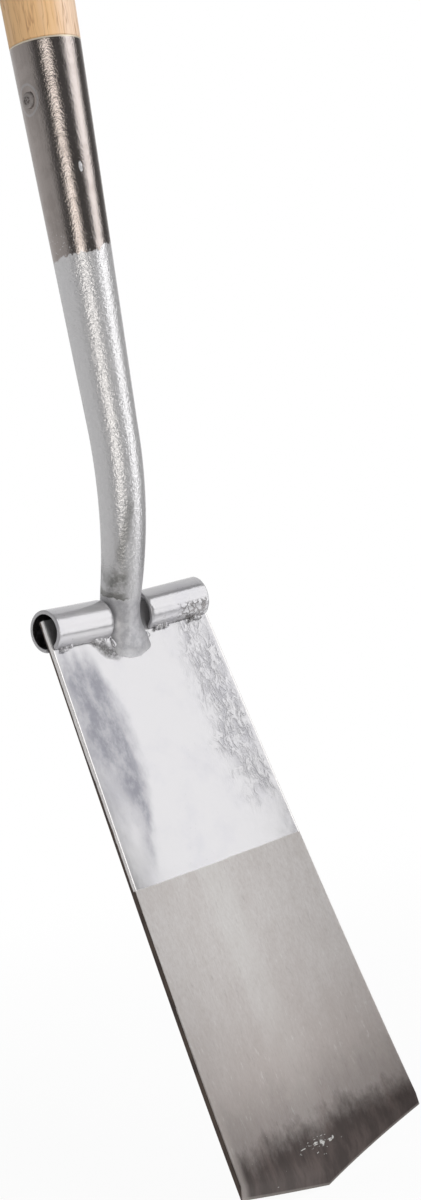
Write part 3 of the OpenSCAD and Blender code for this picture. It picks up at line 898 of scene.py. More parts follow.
def blade_finish(g):
    """Lacquered upper half, brushed lower half and the stain along the cutting edge."""
    s = g.s
    tree, f = new_material("blade_lacquer_and_ground_steel")
    place = tree.blade_place(g)
    x, y, _ = place.parts()
    front = tree.mark("fore")
    wave = (place * (1.0, 0.2, 0.2)).noise(160.0, 3.0) - 0.5
    painted = above_paint_edge(f, y + wave * 0.0014)
    widen = (s.blade_top_width - s.blade_tip_width) / (2 * s.blade_length)
    half = y * widen + s.blade_top_width / 2
    across = x / half
    patchy = (place * (1.0, 0.5, 0.0)).noise(60.0, 4.0, 0.6) - 0.5
    low = y + patchy * 0.05

    # Leaf marks in the lacquer on the right, with painted shade between them
    pits, lacquer_normal = lacquer_relief(tree, place, 0.05)
    leaf = (place * (1.0, 0.5, 0.0)).noise(230.0, 5.0, 0.65, 1.4).window(0.38, 0.58)
    drift = (place * (1.0, 0.7, 0.0)).noise(70.0, 3.0).window(0.34, 0.56)
    leafy = (across + patchy * 0.80).window(0.42, 0.74) * across.window(0.99, 0.90)
    leafy = leafy * low.window(-0.125, -0.106) * front * drift.blend(0.45, 1.0)
    lacquer_normal = tree.bump(leaf * leafy, 0.00040, 0.32, lacquer_normal)

    # Bowed band of painted shade on the left, standing for the dark reflection of a soft box's edge
    # in the hollow
    bow = ((y + 0.070) * 20.0) ** 2.0
    inside = -0.37 - bow * 0.14 - across + patchy * 0.34
    upper = y.window(-0.112, -0.072, soft=False)
    beyond = (inside - upper.blend(0.08, 0.45)).window(-0.04, 0.18)
    lower = low.window(-0.122, -0.098) * 0.40
    mottle = (place * (1.0, 0.6, 0.0)).noise(115.0, 6.0, 0.7).window(0.34, 0.62)
    left_band_shade = beyond.blend(1.0, upper.blend(lower, 0.55)) * inside.window(-0.05, 0.13)
    left_band_shade = left_band_shade * low.window(-0.006, -0.030) * mottle.blend(0.58, 1.0)
    left_band_shade = left_band_shade * front * low.window(-0.142, -0.118)

    # Dark, matt patch left of the foot, and the painted highlight on the front corners
    dark_patch = (place - DARK_PATCH_PLACE).rotated((0, 0, DARK_PATCH_TURN)) * (0.55, 1.2, 0.0)
    dark_patch = (dark_patch.length() + patchy * 0.008).window(0.0066, 0.0016) * (front * 0.95)
    spotty = place.noise(480.0, 4.0, 0.7).window(0.36, 0.60)
    dark_patch = dark_patch * spotty.blend(0.35, 1.0)
    # Painted highlight along the front corners of the sides
    bright = (abs(x) - half).window(-0.0016, -0.0010)
    silver = tree.paint(
        lacquer_colour(tree, place, f, pits * 0.3),
        # Painted shade between the leaf marks
        (leafy * leaf.blend(0.45, 0.04), f.thin_silver_and_shade),
        # Painted shade: the dark reflection in the left band
        (left_band_shade, f.thin_silver_and_shade),
        (dark_patch * 0.85, f.bore),
        (bright, f.lacquer_and_corner_highlight),
    )

    # Ground steel: brush marks, warm places, a painted reflection as a pale lane, and strokes
    brush = (place * (1.0, 0.12, 0.0)).noise(1300.0, 3.0, 0.6)
    warm = (place * (1.0, 0.40, 0.0)).noise(110.0, 5.0, 0.65).window(0.36, 0.70)
    speckle = (place * (1.0, 0.5, 0.0)).noise(750.0, 3.0, 0.7).window(0.35, 0.70)
    lean = across + y * 0.9 + patchy * 0.3
    sheen_lane = lean.window(-0.42, -0.26) * lean.window(0.02, -0.14)
    strokes = (place * (1.0, 0.22, 0.0)).noise(420.0, 4.0, 0.7)

    # Stain above the cutting edge, ragged and higher at the sides
    slope = s.point_depth / (s.blade_tip_width / 2)
    rise = y - abs(x) * slope + (s.blade_length + s.point_depth)
    ragged = (place * (1.0, 0.6, 0.0)).noise(110.0, 6.0, 0.7) - 0.5
    fringe = (place * (1.0, 0.10, 0.0)).noise(420.0, 3.0, 0.6) - 0.5
    middle = abs(across).window(1.0, 0.1) * -0.012
    stain_rise = rise + (ragged * 0.026 + fringe * 0.005) + middle
    haze = stain_rise.window(0.056, 0.018)
    stain = tree.largest(stain_rise.window(0.035, 0.006), haze * 0.36)
    worn = rise.window(0.016, 0.004) * across.window(0.1, -0.2)
    stain = stain * across.window(-0.88, -0.97).blend(1.0, 0.35) * worn.blend(0.94, 0.86)
    cloudy = (place * (1.0, 0.3, 0.0)).noise(90.0, 5.0, 0.65).window(0.40, 0.72)

    # Bare flakes in the stain, and the bright lip
    near = place.away(FLAKES_PLACE, (0.55, 1.9, 0.0)).window(0.015, 0.001)
    flakes = (place * (0.40, 1.0, 0.0)).noise(520.0, 3.0, 0.6, 0.3) + near * 0.18
    flakes = flakes.window(0.72, 0.76) * front * (stain * 0.85)
    lip = rise.window(0.0014, 0.0008)
    steel = tree.paint(
        f.ground,
        (warm * 0.22, f.ground_warm),
        (brush * 0.30, f.ground_warm),
        (speckle * 0.22, f.ground_low),
        # Painted reflection: the pale lane down the hollow
        (sheen_lane * 0.26, f.ground_pale_and_sheen),
        (low.window(-0.175, -0.275) * 0.6, f.ground_low),
        (strokes.window(0.58, 0.72) * 0.45, f.ground_pale_and_sheen),
        (strokes.window(0.42, 0.28) * 0.16, f.stain_pale),
        (stain, tree.mix(cloudy, f.stain, f.stain_pale)),
        (flakes, f.ground_pale_and_sheen),
        (lip * 0.45, f.edge_steel),
    )
    silver_rough = dark_patch.blend(place.noise(210.0, 3.0).blend(0.13, 0.22), 0.7)
    return tree.surface(
        Base_Color=tree.mix(painted, steel, silver),
        Metallic=painted.blend(0.7, dark_patch.blend(0.5, 0.0)),
        Roughness=painted.blend(brush.blend(0.50, 0.70), silver_rough),
        Normal=tree.between(painted, tree.bump(brush, 0.00008, 0.5), lacquer_normal),
    )


def side_steel(g):
    """Brown, sheared steel on the side edges, its front part lacquered above the ground half in a
    light colour that is partly painted highlight.
    """
    tree, f = new_material("blade_side_steel")
    place = tree.blade_place(g)
    _, y, _ = place.parts()
    streak = (place * (0.0, 0.25, 1.0)).noise(260.0, 4.0, 0.65)
    base = tree.mix(streak.window(0.40, 0.68), f.blade_side, f.stain)
    thin = y.window(-0.060, -0.095) * 0.20
    cover = (tree.mark("fore") + (streak - 0.5) * 0.5 - thin).window(0.34, 0.46)
    cover = cover * above_paint_edge(f, y)
    return tree.surface(
        Base_Color=tree.mix(cover, base, f.lacquer_and_corner_highlight),
        Metallic=0.4,
        Roughness=cover.blend(0.5, 0.3),
    )


def ash_wood(name, turn=(0.0, 0.0, 0.0)):
    """Pale ash with straight grain along the piece."""
    tree, f = new_material(name)
    place = tree.object_place().rotated(turn)
    x, y, _ = place.parts()
    bend = (place * (1.0, 1.0, 0.15)).noise(18.0, 2.0)
    rings = tree.sum("FRACT", (x * 0.8 + y * 0.6 + bend * 0.007) * 260.0)
    pores = (place * (1.0, 1.0, 0.06)).noise(620.0, 3.0, 0.6).window(0.55, 0.68)

    # Painted sheen: one side of the piece rosy, its edge wandering at random
    drift = (place * (1.0, 1.0, 0.05)).noise(95.0, 3.0, 0.6) - 0.5
    sheen_side = tree.sum("SINE", (x + 0.003) * (math.tau / 0.06)) + drift * 3.0
    pale = tree.mix(sheen_side.window(-1.0, 0.4), f.ash_pale, f.ash_rosy_sheen)

    # Thin, wavy and broken lines
    stretched = place * (1.0, 1.0, 0.07)
    inputs = {0: place.swirl(95.0, 1.0), 1: (0.0018, 0.0018, 0.0), 2: stretched}
    swayed = tree.add("ShaderNodeVectorMath", inputs, operation="MULTIPLY_ADD")
    lines = Place(tree, swayed.outputs[0]).noise(330.0, 2.0) - 0.5
    broken = (place * (1.0, 1.0, 0.4)).noise(130.0, 2.0).window(0.38, 0.62)
    lines = abs(lines).window(0.045, 0.008) * broken.blend(0.10, 0.68)

    haze = (place * (1.0, 1.0, 0.1)).noise(60.0, 3.0)
    grain = rings.window(0.35, 0.95) * haze.blend(0.05, 0.45)
    grain = tree.sum("ADD", grain, pores * 0.55, clamp=True)
    return tree.surface(
        Base_Color=tree.paint(pale, (grain, f.ash_dark), (lines, f.ash_line)),
        Roughness=haze.blend(0.36, 0.50),
        Normal=tree.bump(pores, -0.0003, 0.3),
    )


def wedge_wood():
    """Dark hardwood across the grain."""
    tree, f = new_material("wedge_hardwood")
    grain = (tree.object_place() * (1.0, 0.15, 1.0)).noise(600.0, 3.0)
    return tree.surface(
        Base_Color=tree.mix(grain.window(0.35, 0.7), f.wedge_wood, f.raw_dark),
        Roughness=0.6,
        Normal=tree.bump(grain, 0.0003, 0.4),
    )


def rivet_finish(g):
    """Hammered steel like the socket's, scuffed dark in the middle."""
    tree, f = new_material("hammered_rivet_steel")
    place = tree.object_place()
    middle = place.away((0.0, 0.0, g.rivet_z), (0.0, 1.0, 1.0)).window(0.0034, 0.0020)
    scuff = middle * place.noise(1100.0, 3.0, 0.6, 1.0).window(0.42, 0.56)
    dents = place.noise(520.0, 3.0)
    return tree.surface(
        Base_Color=tree.mix(scuff * 0.9, f.rivet_steel, f.stain),
        Metallic=0.75,
        Roughness=dents.blend(0.38, 0.55),
        Normal=tree.bump(dents, 0.0004, 0.5),
    )


# Geometry node trees
def start_group(name, *inputs):
    """New group with named inputs: the group, their identifiers, its tree and given sockets."""
    group = bpy.data.node_groups.new(name, "GeometryNodeTree")
    keys = {}
    for label, kind, default in inputs:
        kind = "NodeSocket" + kind
        socket = group.interface.new_socket(label, in_out="INPUT", socket_type=kind)
        if default is not None:
            socket.default_value = default
        keys[label] = socket.identifier
    group.interface.new_socket("Geometry", in_out="OUTPUT", socket_type="NodeSocketGeometry")
    tree = Tree(group)
    return group, keys, tree, tree.add("NodeGroupInput").outputs


def end_group(tree, geometry, material):
    """Ends a group in plain geometry with its material."""
    real = tree.add("GeometryNodeRealizeInstances", {"Geometry": geometry})
    inputs = {"Geometry": real.outputs[0], "Material": material}
    done = tree.add("GeometryNodeSetMaterial", inputs)
    tree.add("NodeGroupOutput", {"Geometry": done.outputs[0]})


def bead_group():
    """Group that lays overlapping ripples along a path, as a weld leaves them."""
    group, keys, tree, given = start_group(
        "weld_ripples",
        ("Path", "Geometry", None),
        ("Radius", "Float", 0.003),
        ("Pitch", "Float", 0.0015),
        ("Stray", "Float", 0.4),
        ("Seed", "Int", 1),
        ("Material", "Material", None),
    )

    def random(low, high):
        inputs = {"Min": (low, low, low), "Max": (high, high, high), "Seed": given["Seed"]}
        return tree.add("FunctionNodeRandomValue", inputs, data_type="FLOAT_VECTOR").outputs[0]

    curve = tree.add("GeometryNodeMeshToCurve", {"Mesh": given["Path"]})
    inputs = {"Curve": curve.outputs[0], "Length": given["Pitch"]}
    spaced = tree.add("GeometryNodeResampleCurve", inputs, mode="LENGTH")
    inputs = {"Radius": given["Radius"], "Subdivisions": 3}
    ball = tree.add("GeometryNodeMeshIcoSphere", inputs)
    size, stray = random(0.45, 1.0), random(-1.0, 1.0)
    reach = tree.sum("MULTIPLY", given["Radius"], given["Stray"])
    shift = tree.add("ShaderNodeVectorMath", {0: stray, "Scale": reach}, operation="SCALE")
    inputs = {"Curve": spaced.outputs[0]}
    points = tree.add("GeometryNodeCurveToPoints", inputs, mode="EVALUATED")
    inputs = {"Geometry": points.outputs[0], "Offset": shift.outputs[0]}
    strewn = tree.add("GeometryNodeSetPosition", inputs)
    inputs = {"Points": strewn.outputs[0], "Instance": ball.outputs["Mesh"], "Scale": size}
    laid = tree.add("GeometryNodeInstanceOnPoints", inputs)
    end_group(tree, laid.outputs[0], given["Material"])
    return group, keys


def sweep_group():
    """Group that sweeps a round skin along a path whose points carry their radius."""
    group, keys, tree, given = start_group(
        "tapered_tube_sweep",
        ("Path", "Geometry", None),
        ("Sides", "Int", 96),
        ("Material", "Material", None),
    )
    curve = tree.add("GeometryNodeMeshToCurve", {"Mesh": given["Path"]})
    radius = tree.add("GeometryNodeInputNamedAttribute", {"Name": "tube_radius"})
    radius = radius.outputs["Attribute"]
    inputs = {"Curve": curve.outputs[0], "Radius": radius}
    sized = tree.add("GeometryNodeSetCurveRadius", inputs)
    inputs = {"Resolution": given["Sides"], "Radius": 1.0}
    circle = tree.add("GeometryNodeCurvePrimitiveCircle", inputs)
    inputs = {"Curve": sized.outputs[0], "Profile Curve": circle.outputs["Curve"]}
    skin = tree.add("GeometryNodeCurveToMesh", inputs)
    if "Scale" in skin.inputs:
        tree.put(skin.inputs["Scale"], radius)
    end_group(tree, skin.outputs[0], given["Material"])
    return group, keys


def path_object(name, lines, radii=None):
    """Mesh of open lines of points, with a radius at each point where it is given."""
    points, edges = [], []
    for line in lines:
        start = len(points)
        points += [tuple(p) for p in line]
        edges += [(start + i, start + i + 1) for i in range(len(line) - 1)]
    mesh = bpy.data.meshes.new(name)
    mesh.from_pydata(points, edges, [])
    if radii is not None:
        store = mesh.attributes.new("tube_radius", "FLOAT", "POINT")
        store.data.foreach_set("value", radii)
    return add_object(name, mesh)


def run_group(obj, group, keys, **values):
    """Runs a node group on an object and keeps the result as a plain mesh."""
    step = obj.modifiers.new(group.name, "NODES")
    step.node_group = group
    for label, value in values.items():
        step[keys[label]] = value
    settle(obj)


# Pieces
class SPADE_OT_blade(bpy.types.Operator):
    """Build the dished blade with its ground cutting edge"""

    bl_idname = "spade.blade"
    bl_label = "Blade"

    def execute(self, context):
        g = measures()
        s = g.s
        columns, rows, bevel_rows = 97, 150, 4
        side_facing = 0.86
        u = np.linspace(-1, 1, columns)
        bottom = -s.blade_length - s.point_depth * (1 - np.abs(u))
        ground = bottom + s.bevel_width / math.cos(g.point_angle)
        v = np.linspace(0, 1, rows)[:, None]
        upper = s.top_edge_up + (ground - s.top_edge_up)[None, :] * v
        w = np.linspace(0, 1, bevel_rows + 1)[1:, None]
        lower = ground[None, :] + (bottom - ground)[None, :] * w
        y = np.concatenate([upper, lower])
        x = u[None, :] * half_width(g, y)
        fore = np.full(y.shape, s.blade_thickness / 2)
        fore[rows:] -= (s.blade_thickness - s.edge_thickness) * w
        obj = slab(g, "dished_blade", x, y, fore, -s.blade_thickness / 2)
        layer = obj.data.attributes.new("fore", "FLOAT", "POINT")
        layer.data.foreach_set("value", np.repeat([1.0, 0.0], y.size))
        soften(obj, 0.0006)
        outward = g.to_part.to_3x3() @ Vector((1, 0, 0))
        for face in obj.data.polygons:
            face.material_index = int(abs(face.normal.dot(outward)) > side_facing)
        shade_smooth(obj)
        dress(obj, (blade_finish(g), side_steel(g)), "blade")
        return {"FINISHED"}


def tread_tube(g, side, hand):
    """Slotted tread tube over the top edge of the blade, its bore marked as second material."""
    s = g.s
    outer, steps, length_steps = s.tread_diameter / 2, 84, 16
    section = []
    for radius, turn in ((outer, 1), (outer - s.tread_wall, -1)):
        first = math.asin(s.slot_front / radius)
        last = 2 * math.pi - math.asin(s.slot_back / radius)
        for a in np.linspace(first, last, steps)[::turn]:
            section.append((radius * math.sin(a), -radius * math.cos(a)))
    along = Vector((side * math.cos(g.tread_yaw), 0, math.sin(g.tread_yaw)))
    fore = Vector((-side * math.sin(g.tread_yaw), 0, math.cos(g.tread_yaw)))
    start = Vector((side * s.tread_inner, 0, tread_height(g, s.tread_inner)))
    count = len(section)
    points = []
    for i in range(length_steps + 1):
        base = start + along * g.tread_length * i / length_steps
        points += [base + fore * a + Vector((0, b, 0)) for a, b in section]
    faces = grid_faces(length_steps + 1, count, wrap=True)
    for end in (0, length_steps * count):
        for k in range(steps - 1):
            faces.append((end + k, end + k + 1, end + count - 2 - k, end + count - 1 - k))
    obj = new_mesh(hand + "_tread_tube", points, faces, g.to_part)
    soften(obj, 0.0007)
    axis = g.to_part.to_3x3() @ along
    foot = g.to_part @ start
    limit = outer - s.tread_wall + 0.0003
    for face in obj.data.polygons:
        arm = face.center - foot
        face.material_index = int((arm - axis * arm.dot(axis)).length < limit)
    return shade_smooth(obj)


class SPADE_OT_treads(bpy.types.Operator):
    """Build the two tubular foot treads"""

    bl_idname = "spade.treads"
    bl_label = "Treads"

    def execute(self, context):
        g = measures()
        material = silver_lacquer(g, "silver_lacquer_tread")
        bare = bore_steel(g, "bare_bore_steel", 0.1, 0.0)
        dusted_lit = bore_steel(g, "dusted_bore_steel_painted_light", 0.7, 1.0)
        for (side, hand), bore in zip(HANDS, (bare, dusted_lit)):
            dress(tread_tube(g, side, hand), (material, bore), "tread_" + hand)
        return {"FINISHED"}


def dent_neck(g, obj, stations, runs):
    """Flattens the foot, creases the front of the bend and presses in the rivet dimples."""
    s = g.s
    mesh = obj.data
    points = np.empty(len(mesh.vertices) * 3)
    mesh.vertices.foreach_get("co", points)
    points = points.reshape(-1, 3)
    turn = g.to_part.to_3x3()
    centres, fronts, ups = [], [], []
    for p in stations:
        centres.append(g.to_part @ Vector((0, p.y, p.z)))
        fronts.append(turn @ Vector((0, -math.sin(p.heading), math.cos(p.heading))))
        ups.append(turn @ Vector((0, math.cos(p.heading), math.sin(p.heading))))
    centres, fronts, ups = np.array(centres), np.array(fronts), np.array(ups)
    lean = np.abs(((points[:, None, :] - centres[None]) * ups[None]).sum(axis=2))
    far = ((points[:, None, :] - centres[None]) ** 2).sum(axis=2)
    nearest = np.argmin(lean + far, axis=1)
    front, run = fronts[nearest], runs[nearest]
    ahead = ((points - centres[nearest]) * front).sum(axis=1)
    shapes = np.array([(p.radius, p.wide, p.deep) for p in stations])
    radius, wide, deep = shapes[nearest].T

    # Fold on the front
    fore = np.clip(ahead / radius, 0, 1)
    past = run - g.crease_run
    leftward = np.clip((FOLD_START - points[:, 0]) / FOLD_FADE, 0, 1)
    bite = FOLD_RIGHT_SHARE + (1 - FOLD_RIGHT_SHARE) * leftward
    ridge = np.where(past < 0, RIDGE * bite * np.exp(past / RIDGE_REACH), 0.0)
    valley = np.where(past >= 0, VALLEY * bite * np.exp(-past / VALLEY_REACH), 0.0)

    # Flattened foot
    flush = s.blade_thickness / 2 + s.sheet_gap + FOOT_SKIN
    ease = np.clip(run / FOOT_RUNOUT, 0, 1)
    ease = ease * ease * (3 - 2 * ease)
    deep = flush + (deep - flush) * ease
    ahead_new = ahead * deep / radius + fore * (ridge - valley)
    points += front * (ahead_new - ahead)[:, None]
    points[:, 0] *= wide / radius

    # Dimples
    spread = np.hypot(points[:, 1], points[:, 2] - g.rivet_z)
    bowl = s.dimple_radius - np.sqrt(np.maximum(s.dimple_radius**2 - spread**2, 0))
    floor = g.rivet_floor + bowl
    side = np.sign(points[:, 0])
    wide = np.abs(points[:, 0])
    lower = np.clip(0.5 + (floor - wide) / (2 * DIMPLE_BLUR), 0, 1)
    pressed = wide * lower + floor * (1 - lower)
    pressed = np.where(lower < 1, np.minimum(pressed, wide), wide)
    near = (spread < DIMPLE_REACH) & (wide > g.rivet_floor - DIMPLE_DEPTH_REACH)
    points[:, 0] = np.where(near, side * pressed, points[:, 0])
    mesh.vertices.foreach_set("co", points.ravel())
    mesh.update()


class SPADE_OT_neck_socket(bpy.types.Operator):
    """Build the swan neck with its slotted foot and conical socket"""

    bl_idname = "spade.neck_socket"
    bl_label = "Neck and socket"

    def execute(self, context):
        g = measures()
        s = g.s
        sides, neck_steps, socket_steps, slot_steps = 96, 170, 130, 25
        bends = g.neck_run - s.socket_length
        neck_runs = np.linspace(0, bends, neck_steps)[:-1]
        runs = np.concatenate([neck_runs, np.linspace(bends, g.neck_run, socket_steps)])
        stations = [neck_station(g, r) for r in runs]
        centres = [g.to_part @ Vector((0, p.y, p.z)) for p in stations]
        obj = path_object("swan_neck_socket", [centres], [p.radius for p in stations])
        material = neck_finish(g)
        run_group(obj, *sweep_group(), Sides=sides, Material=material)
        work = bmesh.new()
        work.from_mesh(obj.data)
        bmesh.ops.remove_doubles(work, verts=work.verts, dist=1e-6)
        bmesh.ops.recalc_face_normals(work, faces=work.faces)
        if work.faces[0].normal.dot(work.faces[0].calc_center_median() - centres[0]) < 0:
            bmesh.ops.reverse_faces(work, faces=work.faces)
        work.to_mesh(obj.data)
        work.free()
        dent_neck(g, obj, stations, runs)
        wall = obj.modifiers.new("Wall", "SOLIDIFY")
        wall.thickness = s.socket_wall
        wall.offset = -1.0
        wall.use_even_offset = True
        settle(obj)
        x = np.linspace(-1, 1, slot_steps)[None, :] * g.tread_outer * np.ones((slot_steps, 1))
        top, low = s.top_edge_up + s.sheet_gap, -s.foot_length - TOOL_REACH
        y = np.linspace(top, low, slot_steps)[:, None] * np.ones((1, slot_steps))
        half = s.blade_thickness / 2 + s.sheet_gap
        slot = slab(g, "slot_tool", x, y, half, -half)
        cut(obj, slot, rivet_bore(g, s.mouth_radius + TOOL_REACH))
        soften(obj, 0.0004, 2, 50)
        shade_smooth(obj, 40)
        dress(obj, (material,), "neck_socket")
        return {"FINISHED"}


class SPADE_OT_rivet(bpy.types.Operator):
    """Build the hammered rivet through the socket"""

    bl_idname = "spade.rivet"
    bl_label = "Rivet"

    def execute(self, context):
        g = measures()
        s = g.s
        head, shank, bowl = s.rivet_head / 2, s.rivet_diameter / 2, s.dimple_radius
        half = []
        for r in np.linspace(shank, head, 6):
            half.append((r, g.rivet_floor + bowl - math.sqrt(bowl**2 - r**2)))
        rim = bowl - math.sqrt(bowl**2 - head**2)
        for a in np.linspace(0, math.pi / 2, 14)[1:-1]:
            dome = rim + (s.rivet_head_height - rim) * math.sqrt(math.sin(a))
            half.append((head * math.sqrt(math.cos(a)), g.rivet_floor + dome))
        half.append((0.0, g.rivet_floor + s.rivet_head_height))
        profile = [(r, -d) for r, d in half[::-1]] + half
        obj = turned("socket_rivet_steel", profile, (1, 0, 0), (0, 0, g.rivet_z), 48)
        shade_smooth(obj, 40)
        dress(obj, (rivet_finish(g),), "socket_rivet")
        return {"FINISHED"}


def wedge_shape(g, name):
    """Plain wedge, thick at its head, as wide as the tenon."""
    s = g.s
    t, r = s.wedge_thickness / 2, s.tenon_radius
    outline = ((-t, g.top_z), (t, g.top_z), (0.0, g.top_z - s.wedge_length))
    points = [(x, y, z) for y in (-r, r) for x, z in outline]
    faces = [(0, 1, 2), (5, 4, 3), (0, 3, 4, 1), (1, 4, 5, 2), (2, 5, 3, 0)]
    return new_mesh(name, points, faces)


def tapering(start, end, steps):
    """Points of a profile from one (radius, height) to another, without the first."""
    for i in range(1, steps + 1):
        share = i / steps
        yield tuple(a + (b - a) * share for a, b in zip(start, end))


class SPADE_OT_shaft(bpy.types.Operator):
    """Build the ash shaft"""

    bl_idname = "spade.shaft"
    bl_label = "Shaft"

    def execute(self, context):
        g = measures()
        s = g.s
        seat_z = g.mouth_z - s.seat_length
        ease = 0.0006
        shoulder = (s.mouth_radius, g.mouth_z + ease)
        clip_top = (s.clip_radius, s.clip_length)
        profile = [(0.0, seat_z), (g.seat_end - ease, seat_z), (g.seat_end, seat_z + ease)]
        profile += [(g.seat_mouth, g.mouth_z), (s.mouth_radius - ease, g.mouth_z), shoulder]
        profile += tapering(shoulder, (s.clip_radius, g.mouth_z + s.swell_length), 12)
        profile.append(clip_top)
        profile += tapering(clip_top, (s.shaft_top_radius, s.clip_length + s.slim_length), 32)
        profile += [(s.tenon_radius, g.slim_z), (s.tenon_radius, g.top_z), (0.0, g.top_z)]
        obj = turned("ash_shaft", profile, (0, 0, 1), (0, 0, 0), 96)
        cut(obj, rivet_bore(g, s.clip_radius + 0.01), wedge_shape(g, "wedge_tool"))
        shade_smooth(obj, 30)
        dress(obj, (ash_wood("ash_shaft_wood"),), "handle_shaft")
        return {"FINISHED"}


class SPADE_OT_grip(bpy.types.Operator):
    """Build the crosspiece and its wedge"""

    bl_idname = "spade.grip"
    bl_label = "Grip"

    def execute(self, context):
        g = measures()
        s = g.s
        half = s.grip_length / 2

        def barrel(x):
            swell = math.cos(math.pi / 2 * x / half)
            return s.grip_end_radius + (s.grip_radius - s.grip_end_radius) * swell

        straight = half - s.grip_round
        side = [(barrel(x), x) for x in np.linspace(0, straight, 24)]
        for a in np.linspace(0, math.pi / 2, 13)[1:]:
            drop = s.grip_round * (1 - math.cos(a))
            side.append((barrel(straight) - drop, straight + s.grip_round * math.sin(a)))
        side.append((0.0, half))
        profile = [(r, -x) for r, x in side[:0:-1]] + side
        obj = turned("ash_crosspiece", profile, (1, 0, 0), (0, 0, g.grip_z), 96)
        low, high = (0, 0, g.slim_z - TOOL_REACH), (0, 0, g.top_z + TOOL_REACH)
        hole = rod("hole_tool", s.tenon_radius + s.tenon_gap, low, high, 72)
        notch = s.shaft_top_radius + s.seat_gap
        cut(obj, hole, rod("seat_tool", notch, low, (0, 0, g.slim_z), 96))
        soften(obj, 0.0004, 2, 50)
        shade_smooth(obj, 40)
        wood = ash_wood("ash_crosspiece_wood", (0.0, math.pi / 2, 0.0))
        dress(obj, (wood,), "grip_crosspiece")
        wedge = wedge_shape(g, "hardwood_wedge")
        sleeve = rod("sleeve_tool", s.tenon_radius, low, high, 72)
        cut(wedge, sleeve, operation="INTERSECT")
        shade_smooth(wedge, 30)
        dress(wedge, (wedge_wood(),), "grip_wedge")
        return {"FINISHED"}


def lay_bead(g, name, lines, stray, material, seed, node):
    """One weld: ripples along its lines, melted together into one skin."""
    radius = g.s.bead_radius * RIPPLE_SHARE
    obj = path_object(name, [[g.to_part @ Vector(p) for p in line] for line in lines])
    run_group(
        obj,
        *bead_group(),
        Radius=radius,
        Pitch=radius * RIPPLE_PITCH,
        Stray=stray,
        Seed=seed,
        Material=material,
    )
    melt = obj.modifiers.new("Melt", "REMESH")
    melt.mode = "VOXEL"
    melt.voxel_size = MELT_GRAIN
    ease = obj.modifiers.new("Ease", "SMOOTH")
    ease.factor = 0.5
    ease.iterations = 2
    settle(obj)
    shade_smooth(obj, 180)
    dress(obj, (material,), node)


class SPADE_OT_welds(bpy.types.Operator):
    """Build the weld beads on the treads and the foot"""

    bl_idname = "spade.welds"
    bl_label = "Welds"

    def execute(self, context):
        g = measures()
        s = g.s
        tread_stray, foot_stray = 0.75, 0.35
        material = silver_lacquer(g, "silver_lacquer_weld")
        seed = s.bead_seed
        drop = -s.tread_diameter / 2
        starts = (g.tread_outer - s.tack_inset - s.tack_length, s.tread_inner + s.tack_inset)
        for side, hand in HANDS:
            for face, word in FACES:
                off = face * (s.blade_thickness / 2 + s.bead_radius / 4)
                lines = []
                for start in starts:
                    ends = (start + TACK_MARGIN, start + s.tack_length - TACK_MARGIN)
                    lines.append([(side * x, drop, tread_height(g, x) + off) for x in ends])
                seed += 1
                node = f"weld_tread_{hand}_{word}"
                name = f"{hand}_tread_{word}_bead"
                lay_bead(g, name, lines, tread_stray, material, seed, node)
        rows = np.linspace(-s.foot_length + 0.009, drop - 0.001, 5)
        for face, word in FACES:
            off = face * s.blade_thickness / 2
            lines = []
            for side, _ in HANDS:
                lines.append(
                    [(side * foot_edge(g, y), y, middle_height(g, y) + off) for y in rows]
                )
            seed += 1
            name, node = f"foot_{word}_bead", f"weld_foot_{word}"
            lay_bead(g, name, lines, foot_stray, material, seed, node)
        return {"FINISHED"}


# Dim walls of the studio: degrees to the right of the camera, level
STUDIO_WALLS = (
    *((-180, 0.55), (-160, 0.36), (-58, 0.25), (-38, 0.07), (-30, 0.06)),
    *((112, 0.06), (145, 0.10), (165, 0.42), (180, 0.55)),
)
# Light from above and from the ground, in the same way
STUDIO_CEILING = ((-180, 0.50), (-140, 0.10), (98, 0.03), (112, 0.30), (155, 0.47), (180, 0.50))
STUDIO_GROUND = (
    *((-180, 0.55), (-85, 0.40), (-60, 0.15), (5, 0.15), (36, 0.25)),
    *((78, 0.40), (95, 0.85), (120, 0.62), (180, 0.60)),
)
# Round soft boxes: degrees to the right, degrees up, inner and outer radius, level, warmth
SOFT_BOXES = (
    (79.5, 7.0, 10.5, 16.5, 1.20, 0.0),
    (82.5, 23.0, 18.5, 24.5, 1.00, 0.0),
    (82.0, -11.0, 11.0, 20.0, 1.00, 0.0),
    (0.0, -1.0, 10.5, 17.5, 1.28, 0.75),
    (-8.0, -14.0, 8.0, 14.0, 0.90, 0.75),
)
# How much green and blue a fully warm soft box lacks
WARM_GREEN, WARM_BLUE = 0.05, 0.12
# Large soft lamps: degrees to the right of the camera, degrees up, share of the lamp power
LAMPS = (("key_lamp", 46.0, 24.0, 1.0), ("fill_lamp", -52.0, 14.0, 0.42))
LAMP_FAR, LAMP_SIZE, LAMP_AIM = 2.0, 1.4, Vector((0, 0, -0.2))
# Floor: half its side, its gap under the point, and where its shadow has faded out
FLOOR_SIZE, FLOOR_GAP, SHADOW_INNER, SHADOW_OUTER = 8.0, 0.001, 0.15, 0.9
WHITE = (1, 1, 1, 1)


def direction_to(towards, right, up):
    """Direction so many degrees to the right of the camera and up."""
    a, e = towards + math.radians(right), math.radians(up)
    return Vector((math.cos(a) * math.cos(e), math.sin(a) * math.cos(e), math.sin(e)))


def wall_ring(tree, share, levels):
    """Grey levels round the object, as a colour."""
    ramp = tree.add("ShaderNodeValToRGB", {"Fac": share})
    stops = ramp.color_ramp.elements
    for i, (degrees, level) in enumerate(levels):
        place = degrees / 360 + 0.5
        stop = stops[i] if i < 2 else stops.new(place)
        stop.position = place
        stop.color = (level, level, level, 1.0)
    return ramp.outputs["Color"]


